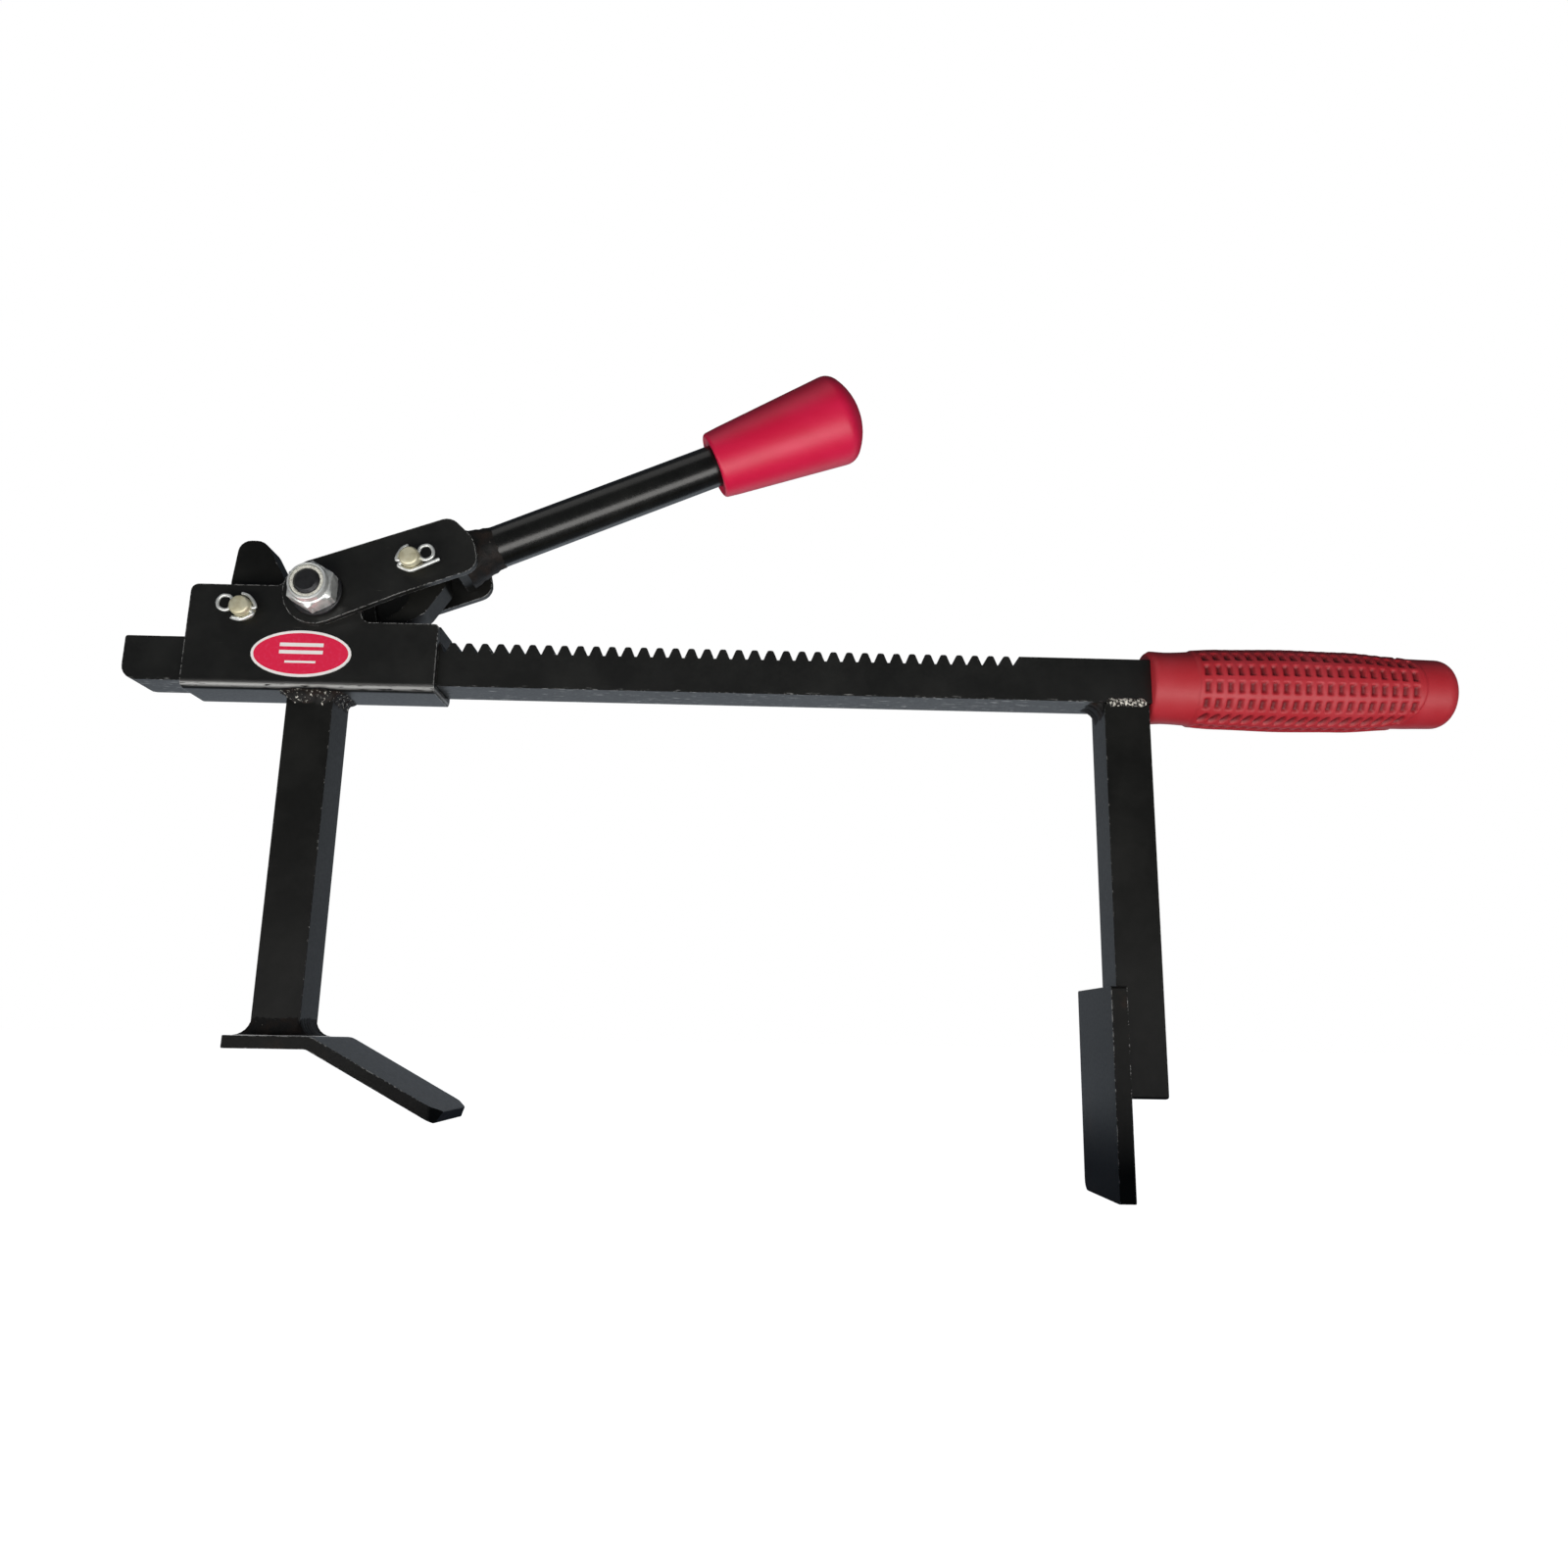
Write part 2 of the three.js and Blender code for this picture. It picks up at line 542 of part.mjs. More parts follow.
// A split cotter seen along the pin: an eye on one side, two legs that come out and fold back round the pin.
function cotterGeometry(x, z, plateFace, cotterAngle, foldBack) {
  const leg = COTTER_LEG_OFFSET;
  const wrap = PIN_RADIUS + COTTER_WIRE_RADIUS + 0.45;
  const upper = [
    [wrap - 9.5 * foldBack, wrap + 0.6],
    [wrap - 5, wrap + 0.3],
    [wrap - 1.6, wrap - 0.9],
    [wrap + 0.5, wrap - 3],
    [wrap - 0.1, leg + 0.1],
    [PIN_RADIUS - 0.6, leg],
    [-PIN_RADIUS, leg],
  ];
  const eye = [
    [-PIN_RADIUS - 2, 1.9],
    [-PIN_RADIUS - 4.2, 2.9],
    [-PIN_RADIUS - 6.6, 1.6],
    [-PIN_RADIUS - 6.9, -1],
    [-PIN_RADIUS - 5, -2.8],
    [-PIN_RADIUS - 2.4, -2.1],
  ];
  const lower = upper.slice().reverse().map(([a, b]) => [a, -b]);
  const points = [...upper, ...eye, ...lower].map(([a, b]) => new THREE.Vector3(a, 0, b));
  return wire(points, COTTER_WIRE_RADIUS, 56)
    .rotateY(-cotterAngle)
    .translate(x, -plateFace - COTTER_INSET, z);
}

// A torsion spring round a pin, with two straight legs.
function springGeometry(x, z, fromY, startAngle) {
  const perTurn = 14;
  const count = Math.round(SPRING_TURNS * perTurn);
  const at = (angle, radius, y) => new THREE.Vector3(radius * Math.cos(angle), y, radius * Math.sin(angle));
  const points = [];
  for (let index = 0; index <= count; index += 1) {
    const angle = startAngle + (2 * Math.PI * index) / perTurn;
    points.push(at(angle, springRadius, (springPitch * index) / perTurn));
  }
  const tangent = (angle, sense) => at(angle + (sense * Math.PI) / 2, SPRING_LEG, 0);
  const endAngle = startAngle + (2 * Math.PI * count) / perTurn;
  points.unshift(points[0].clone().add(tangent(startAngle, -1)));
  points.push(points[points.length - 1].clone().add(tangent(endAngle, 1)));
  return wire(points, SPRING_WIRE_RADIUS, 56).translate(x, fromY + SPRING_WIRE_RADIUS, z);
}

// A pawl cut from plate, drawn round its pin, with the pin's hole through it.
function pawlGeometry(corners) {
  const hole = circle(0, 0, PIN_RADIUS + PIN_GAP, 28);
  return slab('y', roundedOutline(corners), -pawlHalf, pawlHalf, [hole]);
}

function holdingPawlGeometry() {
  const tip = barHalf + HOLDING_TIP_GAP - holdingPinZ;
  return pawlGeometry([
    [-pawlEye - 0.5, 1.5 - pawlEye, 6],
    [2, 0.2 - pawlEye, 3],
    [10.6, tip, 0],
    [10.6 + PAWL_TIP_WIDTH, tip, 0],
    [15, 0, 4],
    [11, 16.7, 8],
    [2.2, 32, 6],
    [-8, 32, 5],
    [-9.6, 14, 10],
  ]).translate(holdingPinX, 0, holdingPinZ);
}

function drivePawlGeometry() {
  const tip = barHalf + DRIVE_TIP_GAP - drivePinZ;
  return pawlGeometry([
    [-pawlEye, pawlEye, pawlEye - 0.6],
    [pawlEye + 1, pawlEye, pawlEye - 1],
    [11, -6.2, 3],
    [3.4, -18, 5],
    [PAWL_TIP_WIDTH - 19.6, tip, 0],
    [-19.6, tip, 0],
    [-17, tip + 5, 3],
    [-6.2, -16.8, 6],
    [-1.8, -10.5, 4],
    [-8.2, -5, 3],
  ]).translate(drivePinX, 0, drivePinZ);
}

function carriage() {
  const group = new THREE.Group();
  const farX = slidingArmX + ARM_SIDE;
  const arm = box(slidingArmX, farX, -armHalf, armHalf, slidingArmBottom, slidingArmTop);
  const footTop = slidingArmBottom;
  const cheekFace = channelInner - JOIN_GAP;
  const bush = ringY(PIVOT_X, pivotZ, BUSH_RADIUS, BOLT_RADIUS + PIN_GAP, -cheekFace, cheekFace);
  const cotterAngle = THREE.MathUtils.degToRad(-8);
  group.add(
    piece('housing_channel', channelGeometry(), paint),
    piece('guide_bridge', bridgeGeometry(), paint),
    piece('sliding_arm', arm, paint),
    piece('sliding_foot', slidingFootGeometry(), paint),
    collarWeld('sliding_arm_weld', slidingArmTop, slidingArmTop - COLLAR_WELD_HEIGHT, ARM_WELD_LEG),
    collarWeld('sliding_foot_weld', footTop, footTop + COLLAR_WELD_HEIGHT, FOOT_WELD_LEG),
    piece('label', labelGeometry(), labelRed),
    piece('pivot_bush', bush, darkSteel),
    piece(
      'holding_pawl_pin',
      clevisPinGeometry(holdingPinX, holdingPinZ, channelOuter, cotterAngle),
      yellowZinc,
    ),
    piece(
      'holding_pawl_cotter',
      cotterGeometry(holdingPinX, holdingPinZ, channelOuter, cotterAngle, 1),
      zinc,
    ),
    piece(
      'holding_pawl_spacer',
      ringY(holdingPinX, holdingPinZ, spacerRadius, PIN_RADIUS + PIN_GAP, -cheekFace, -pawlHalf - RUN_GAP),
      darkSteel,
    ),
    piece(
      'holding_pawl_spring',
      springGeometry(holdingPinX, holdingPinZ, pawlHalf + SPRING_END_GAP, Math.PI),
      zinc,
    ),
  );
  return group;
}

// ---------------------------------------------------------------- pivot bolt

function pivotBoltGeometry() {
  const headFace = leverOuter + 2 * JOIN_GAP + WASHER_THICKNESS;
  const nutEnd = -leverOuter - 3 * JOIN_GAP - WASHER_THICKNESS - NUT_HEX_HEIGHT - NUT_COLLAR_HEIGHT;
  const shank = solid(cylinderY(PIVOT_X, pivotZ, BOLT_RADIUS, nutEnd - BOLT_STICK_OUT, headFace + 0.5));
  return surface(shank.add(solid(hexY(PIVOT_X, pivotZ, headFace, headFace + BOLT_HEAD_HEIGHT))));
}

// The nut's hexagon and round collar, bored for the bolt and counterbored for the nylon ring.
function nutGeometry(hexFace) {
  const hexEnd = hexFace - NUT_HEX_HEIGHT;
  const collarEnd = hexEnd - NUT_COLLAR_HEIGHT;
  const hex = solid(hexY(PIVOT_X, pivotZ, hexEnd, hexFace));
  const collar = solid(cylinderY(PIVOT_X, pivotZ, NUT_COLLAR_RADIUS, collarEnd, hexEnd + 0.5));
  const bore = solid(cylinderY(PIVOT_X, pivotZ, BOLT_RADIUS + PIN_GAP, collarEnd - 1, hexFace + 1));
  const seatRadius = NYLON_OUTER_RADIUS + JOIN_GAP;
  const seat = solid(cylinderY(PIVOT_X, pivotZ, seatRadius, collarEnd - 1, collarEnd + NYLON_DEPTH));
  return surface(hex.add(collar).subtract(bore).subtract(seat));
}

function pivotSet() {
  const group = new THREE.Group();
  const washerFace = leverOuter + JOIN_GAP;
  const washerEnd = washerFace + WASHER_THICKNESS;
  const nutFace = -washerEnd - JOIN_GAP;
  const collarEnd = nutFace - NUT_HEX_HEIGHT - NUT_COLLAR_HEIGHT;
  const inner = BOLT_RADIUS + PIN_GAP;
  const washer = (fromY, toY) => ringY(PIVOT_X, pivotZ, WASHER_RADIUS, inner, fromY, toY);
  group.add(
    piece('pivot_bolt', pivotBoltGeometry(), darkSteel),
    piece('pivot_washer_back', washer(washerFace, washerEnd), darkSteel),
    piece('pivot_washer_front', washer(-washerEnd, -washerFace), darkSteel),
    piece('pivot_nut', nutGeometry(nutFace), zinc),
    piece(
      'pivot_nut_nylon_ring',
      ringY(PIVOT_X, pivotZ, NYLON_OUTER_RADIUS, inner, collarEnd, collarEnd + NYLON_DEPTH - JOIN_GAP),
      nylon,
    ),
  );
  return group;
}

// ---------------------------------------------------------------- lever, drawn along +x from the pivot

function leverPlateGeometry(fromY, toY) {
  const end = LEVER_PIN_REACH + LEVER_PLATE_AHEAD;
  const outline = roundedOutline([
    [-13.6, -12.6, 12.6],
    [30, -12.6, 20],
    [end - 2, -14.2, 6],
    [end + 0.6, -2, 10],
    [end - 4.5, 10.4, 6],
    [-13.6, 15, 13.2],
  ]);
  const holes = [
    circle(0, 0, BOLT_RADIUS + PIN_GAP),
    circle(LEVER_PIN_REACH, -LEVER_PIN_DROP, PIN_RADIUS + PIN_GAP, 28),
  ];
  return slab('y', outline, fromY, toY, holes);
}

// The upright plate across the fork that the rod is welded to.
function leverWebGeometry() {
  const half = leverInner - TURNED_GAP;
  const top = LEVER_WEB_HEIGHT / 2 - 0.5;
  return box(leverWebStart, leverWebStart + LEVER_WEB_THICKNESS, -half, half, top - LEVER_WEB_HEIGHT, top);
}

// A cylinder or cone on the rod's centre line.
function alongRod(radiusFrom, radiusTo, fromX, toX, segments = 32) {
  return new THREE.CylinderGeometry(radiusTo, radiusFrom, toX - fromX, segments)
    .rotateZ(-Math.PI / 2)
    .translate((fromX + toX) / 2, 0, -ROD_DROP);
}

// The tapered weld that fills the fork round the end of the rod.
function rodWeldGeometry(rodStart) {
  const fromX = rodStart;
  const wide = leverInner - TURNED_GAP;
  const taper = solid(alongRod(wide, ROD_RADIUS + 0.6, fromX, fromX + ROD_WELD_LENGTH));
  const bore = ROD_RADIUS + PIN_GAP;
  const hole = solid(alongRod(bore, bore, fromX - 1, fromX + ROD_WELD_LENGTH + 1));
  return surface(taper.subtract(hole));
}

function knobGeometry() {
  const length = KNOB_END - KNOB_START;
  const bore = ROD_RADIUS + PIN_GAP;
  const small = ROD_RADIUS + KNOB_WALL;
  const large = small + KNOB_SWELL;
  const capAt = (radius) => length - KNOB_CAP_RADIUS + Math.sqrt(KNOB_CAP_RADIUS ** 2 - radius ** 2);
  const cap = [0.78, 0.62, 0.46, 0.3, 0.15, 0].map((share) => [large * share, capAt(large * share)]);
  const outline = roundedOutline([
    [0, KNOB_BORE_DEPTH],
    [bore, KNOB_BORE_DEPTH],
    [bore, 0],
    [small, 0, KNOB_LIP_ROUNDING],
    [large, capAt(large), KNOB_RIM_ROUNDING],
    ...cap,
  ]);
  return new THREE.LatheGeometry(outline, 36).rotateZ(-Math.PI / 2).translate(KNOB_START, 0, -ROD_DROP);
}

function lever() {
  const group = new THREE.Group();
  group.position.set(PIVOT_X, 0, pivotZ);
  group.rotation.y = -LEVER_ANGLE;
  const rodStart = leverWebStart + LEVER_WEB_THICKNESS + TURNED_GAP;
  const rodEnd = KNOB_START + KNOB_BORE_DEPTH - TURNED_GAP;
  const pinX = LEVER_PIN_REACH;
  const pinZ = -LEVER_PIN_DROP;
  const cotterAngle = Math.PI - THREE.MathUtils.degToRad(6);
  const spacerInner = PIN_RADIUS + PIN_GAP;
  const spacerEnd = leverInner - TURNED_GAP;
  group.add(
    piece('lever_plate_front', leverPlateGeometry(-leverOuter, -leverInner), paint),
    piece('lever_plate_back', leverPlateGeometry(leverInner, leverOuter), paint),
    piece('lever_web', leverWebGeometry(), paint),
    piece('lever_rod', alongRod(ROD_RADIUS, ROD_RADIUS, rodStart, rodEnd), paint),
    piece('lever_rod_weld', rodWeldGeometry(rodStart), weldSteel),
    piece('lever_knob', knobGeometry(), plastic),
    piece('drive_pawl_pin', clevisPinGeometry(pinX, pinZ, leverOuter, cotterAngle), yellowZinc),
    piece('drive_pawl_cotter', cotterGeometry(pinX, pinZ, leverOuter, cotterAngle, 0.95), zinc),
    piece(
      'drive_pawl_spacer_front',
      ringY(pinX, pinZ, spacerRadius, spacerInner, -spacerEnd, -pawlHalf - RUN_GAP),
      darkSteel,
    ),
    piece(
      'drive_pawl_spacer_back',
      ringY(pinX, pinZ, spacerRadius, spacerInner, channelInner + RUN_GAP, spacerEnd),
      darkSteel,
    ),
    piece('drive_pawl_spring', springGeometry(pinX, pinZ, pawlHalf + SPRING_END_GAP, 0), zinc),
  );
  return group;
}

// ---------------------------------------------------------------- the whole tool

const parts = new THREE.Group();
parts.add(
  fixedEnd(),
  carriage(),
  pivotSet(),
  lever(),
  piece('holding_pawl', holdingPawlGeometry(), darkSteel),
  piece('drive_pawl', drivePawlGeometry(), darkSteel),
);

// Stand the tool on z = 0 with its origin under the middle of its box.
const extent = new THREE.Box3().setFromObject(parts, true);
const middle = extent.getCenter(new THREE.Vector3());
parts.position.set(-middle.x, -middle.y, -extent.min.z);

const tool = new THREE.Group();
tool.add(parts);
tool.updateMatrixWorld(true);

export default tool;
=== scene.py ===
"""Looks of a hand strapping tensioner.

The tool is a toothed bar with a fixed arm and grip, and a carriage that a lever racks along the bar.
Everything is in metres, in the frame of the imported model. Each sub-assembly is a class that builds the
pieces that stand for its CAD nodes and dresses the nodes whose shape is kept.
"""

import json
import logging
import math
from dataclasses import dataclass
from enum import Enum
from functools import partial
from typing import Callable, ClassVar, Optional, Sequence, Union

import bmesh
import bpy
from mathutils import Matrix, Vector, noise


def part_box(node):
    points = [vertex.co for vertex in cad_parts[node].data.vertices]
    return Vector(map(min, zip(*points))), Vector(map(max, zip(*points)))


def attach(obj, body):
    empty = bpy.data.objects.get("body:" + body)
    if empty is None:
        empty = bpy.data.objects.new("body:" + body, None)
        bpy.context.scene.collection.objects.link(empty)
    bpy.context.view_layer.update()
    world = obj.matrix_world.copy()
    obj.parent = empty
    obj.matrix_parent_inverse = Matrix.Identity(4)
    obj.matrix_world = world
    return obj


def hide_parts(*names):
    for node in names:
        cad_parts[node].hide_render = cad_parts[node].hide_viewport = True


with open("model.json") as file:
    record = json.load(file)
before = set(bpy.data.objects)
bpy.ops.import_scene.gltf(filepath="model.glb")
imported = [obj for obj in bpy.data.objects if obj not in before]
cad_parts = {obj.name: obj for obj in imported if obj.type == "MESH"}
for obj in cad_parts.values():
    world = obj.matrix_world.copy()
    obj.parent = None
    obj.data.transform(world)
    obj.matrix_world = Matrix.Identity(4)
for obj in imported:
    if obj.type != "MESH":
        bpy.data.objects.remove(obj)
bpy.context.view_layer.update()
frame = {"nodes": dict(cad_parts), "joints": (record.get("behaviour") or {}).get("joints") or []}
LOG = logging.getLogger("tensioner")
MM = 0.001
# how deep a point lies in a pocket; the grip's finish paints the pockets darker by it, as dirt and painted
# shade
GRIP_DEPTH = "pocket_depth"
TIP = 0.0001  # the radius, in metres, at which a turned piece closes on its axis
SPAN_STEPS = 24  # straight steps in each span of a smooth curve
WIRE_SIDES = 12
EDGE_ANGLE = 28.0  # degrees that two faces turn by before the edge between them is rounded

Socket = bpy.types.NodeSocket
Value = Union[float, Sequence[float], Socket]
Piece = bpy.types.Object
Triple = tuple[float, float, float]


class Body(Enum):
    """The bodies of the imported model."""

    FRAME = "frame"
    CARRIAGE = "carriage"
    LEVER = "lever"
    HOLDING_PAWL = "holding_pawl"
    DRIVE_PAWL = "drive_pawl"


class Slot(Enum):
    """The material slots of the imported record."""

    PAINT = "painted_steel"
    WELD = "painted_weld"
    ZINC = "zinc_plate"
    YELLOW_ZINC = "yellow_zinc"
    DARK_STEEL = "dark_steel"
    RUBBER = "grip_rubber"
    KNOB = "knob_plastic"
    NYLON = "nylon"
    LABEL = "label_film"


# ---------------------------------------------------------------- helpers


def linear(code: int) -> tuple[float, float, float, float]:
    """An sRGB hex colour as the linear colour that the shaders take.

    Args:
        code: The colour as 0xRRGGBB.

    Returns:
        Linear red, green and blue, and full opacity.
    """
    parts = [((code >> shift) & 255) / 255 for shift in (16, 8, 0)]
    red, green, blue = (p / 12.92 if p <= 0.04045 else ((p + 0.055) / 1.055) ** 2.4 for p in parts)
    return red, green, blue, 1.0


def feed(tree: bpy.types.NodeTree, made: bpy.types.Node, inputs: dict) -> None:
    """Sets or links a node's inputs.

    Args:
        tree: The node tree.
        made: The node.
        inputs: Each input by name or number, with a value or the output that feeds it.
    """
    for key, value in inputs.items():
        if isinstance(value, bpy.types.NodeSocket):
            tree.links.new(value, made.inputs[key])
        else:
            made.inputs[key].default_value = value


def add(
    tree: bpy.types.NodeTree, kind: str, inputs: Optional[dict] = None, **settings: object
) -> bpy.types.Node:
    """Adds a node with its settings, and feeds it.

    Args:
        tree: The node tree.
        kind: The node's type.
        inputs: Each input by name or number, with a value or the output that feeds it.
        **settings: Properties of the node itself.

    Returns:
        The node.
    """
    made = tree.nodes.new(kind)
    for name, value in settings.items():
        setattr(made, name, value)
    feed(tree, made, inputs or {})
    return made


def mesh_piece(
    name: str, points: Sequence[Vector], faces: Sequence[Sequence[int]], sharp: float = 35.0
) -> Piece:
    """A mesh object with smooth faces and sharp edges where the faces turn more than an angle.

    Args:
        name: The piece's name.
        points: Its vertices in the model's frame.
        faces: Vertex numbers of each face.
        sharp: The angle in degrees above which an edge is sharp.

    Returns:
        The object, linked to the scene.
    """
    mesh = bpy.data.meshes.new(name)
    mesh.from_pydata([tuple(p) for p in points], [], [tuple(f) for f in faces])
    work = bmesh.new()
    work.from_mesh(mesh)
    bmesh.ops.remove_doubles(work, verts=work.verts, dist=1e-7)
    bmesh.ops.recalc_face_normals(work, faces=work.faces)
    work.to_mesh(mesh)
    work.free()
    mesh.shade_smooth()
    mesh.set_sharp_from_angle(angle=math.radians(sharp))
    made = bpy.data.objects.new(name, mesh)
    bpy.context.scene.collection.objects.link(made)
    return made


def across(axis: Vector) -> tuple[Vector, Vector]:
    """Finds two directions at right angles to an axis and to each other.

    Args:
        axis: The axis's direction.

    Returns:
        The two directions.
    """
    side = Vector((0, 1, 0)) if abs(axis.y) < 0.9 else Vector((0, 0, 1))
    first = axis.cross(side).normalized()
    return first, axis.cross(first).normalized()


def lofted(name: str, rings: Sequence[Sequence[Vector]], closed: bool = False, sharp: float = 35.0) -> Piece:
    """A skin over rings of equal count.

    Args:
        name: The piece's name.
        rings: The rings in order, each a loop of points.
        closed: Whether the last ring joins the first. If not, both ends are capped.
        sharp: The angle in degrees above which an edge is sharp.

    Returns:
        The object.
    """
    count = len(rings[0])
    points = [point for ring in rings for point in ring]
    faces = []
    for row in range(len(rings) if closed else len(rings) - 1):
        here, there = row * count, ((row + 1) % len(rings)) * count
        for step in range(count):
            after = (step + 1) % count
            faces.append((here + step, here + after, there + after, there + step))
    if not closed:
        faces.append(tuple(range(count)))
        faces.append(tuple(range(len(points) - count, len(points))))
    return mesh_piece(name, points, faces, sharp)


def turned(
    name: str,
    profile: Sequence[tuple[float, float]],
    origin: Vector,
    axis: Vector,
    segments: int = 72,
    shape: Optional[Callable[[float, float, float], float]] = None,
    sharp: float = 35.0,
) -> Piece:
    """A piece turned on an axis.

    Args:
        name: The piece's name.
        profile: Pairs of distance along the axis and radius.
        origin: Where the axis starts.
        axis: The axis's direction.
        segments: Facets round the axis.
        shape: Gives the radius for an angle, a distance along and the profile's radius, where it isn't round.
        sharp: The angle in degrees above which an edge is sharp.

    Returns:
        The object.
    """
    first, second = across(axis)
    rings = []
    for along, radius in profile:
        ring = []
        for step in range(segments):
            angle = 2 * math.pi * step / segments
            out = shape(angle, along, radius) if shape else radius
            ring.append(origin + axis * along + (first * math.cos(angle) + second * math.sin(angle)) * out)
        rings.append(ring)
    return lofted(name, rings, sharp=sharp)


def ring_profile(
    inner: float, outer: float, start: float, end: float, edge: float
) -> list[tuple[float, float]]:
    """A closed profile of a washer or bush with broken edges, for `turned_ring`.

    Args:
        inner: The radius of the hole.
        outer: The outer radius.
        start: Where the ring starts along its axis.
        end: Where it ends.
        edge: The size of its broken edges.

    Returns:
        A loop of pairs of distance along the axis and radius.
    """
    return [
        (start, inner + edge),
        (start, outer - edge),
        (start + edge, outer),
        (end - edge, outer),
        (end, outer - edge),
        (end, inner + edge),
        (end - edge, inner),
        (start + edge, inner),
    ]


def turned_ring(
    name: str,
    profile: Sequence[tuple[float, float]],
    origin: Vector,
    axis: Vector,
    segments: int = 72,
    shape: Optional[Callable[[float, float, float], float]] = None,
) -> Piece:
    """A ring turned on an axis from a closed profile.

    Args:
        name: The piece's name.
        profile: A loop of pairs of distance along the axis and radius.
        origin: Where the axis starts.
        axis: The axis's direction.
        segments: Facets round the axis.
        shape: Gives the radius where the ring isn't round, as for `turned`.

    Returns:
        The object.
    """
    first, second = across(axis)
    rings = []
    for step in range(segments):
        angle = 2 * math.pi * step / segments
        way = first * math.cos(angle) + second * math.sin(angle)
        rings.append([origin + axis * a + way * (shape(angle, a, r) if shape else r) for a, r in profile])
    return lofted(name, rings, closed=True)


def smooth_path(corners: Sequence[Vector], step: float, closed: bool = False) -> list[Vector]:
    """Points every `step` metres along a Catmull-Rom curve through the corners.

    Args:
        corners: The points that the curve passes.
        step: The spacing.
        closed: Whether the curve closes on itself.

    Returns:
        The points, without a repeat of the first where it is closed.
    """
    count = len(corners)
    dense = []
    for index in range(count if closed else count - 1):
        if closed:
            a, b, c, d = (corners[(index + k) % count] for k in (-1, 0, 1, 2))
        else:
            a, b, c, d = (corners[min(max(index + k, 0), count - 1)] for k in (-1, 0, 1, 2))
        squared, cubed = 2 * a - 5 * b + 4 * c - d, 3 * b - a - 3 * c + d
        for part in range(SPAN_STEPS):
            t = part / SPAN_STEPS
            dense.append(0.5 * (2 * b + (c - a) * t + squared * t**2 + cubed * t**3))
    dense.append(corners[0].copy() if closed else corners[-1].copy())
    lengths = [0.0]
    for before, after in zip(dense, dense[1:]):
        lengths.append(lengths[-1] + (after - before).length)
    pieces = max(2, round(lengths[-1] / step))
    found, at = [], 0
    for index in range(pieces + (0 if closed else 1)):
        want = lengths[-1] * index / pieces
        while at < len(lengths) - 2 and lengths[at + 1] < want:
            at += 1
        share = (want - lengths[at]) / max(lengths[at + 1] - lengths[at], 1e-12)
        found.append(dense[at].lerp(dense[at + 1], share))
    return found


def wire_piece(name: str, corners: Sequence[Vector], radius: float, step: float = 0.4 * MM) -> Piece:
    """A round wire bent along a smooth path.

    Args:
        name: The piece's name.
        corners: The points that the wire's middle passes.
        radius: The wire's radius.
        step: Spacing of its rings.

    Returns:
        The object.
    """
    path = smooth_path(corners, step)
    heading = (path[1] - path[0]).normalized()
    side, _ = across(heading)
    turns = [2 * math.pi * k / WIRE_SIDES for k in range(WIRE_SIDES)]
    rings = []
    for index, point in enumerate(path):
        ahead = path[min(index + 1, len(path) - 1)] - path[max(index - 1, 0)]
        heading = ahead.normalized()
        side = (side - heading * side.dot(heading)).normalized()
        up = heading.cross(side)
        end = index in (0, len(path) - 1)
        size = radius * (0.7 if end else 1.0)  # the ends are broken as the cutter leaves them
        rings.append([point + (side * math.cos(t) + up * math.sin(t)) * size for t in turns])
    return lofted(name, rings, sharp=60)


class BeadForm(Enum):
    """How a weld bead is laid."""

    FILLET = "fillet"
    HOLLOW = "hollow"
    FLUSH = "flush"


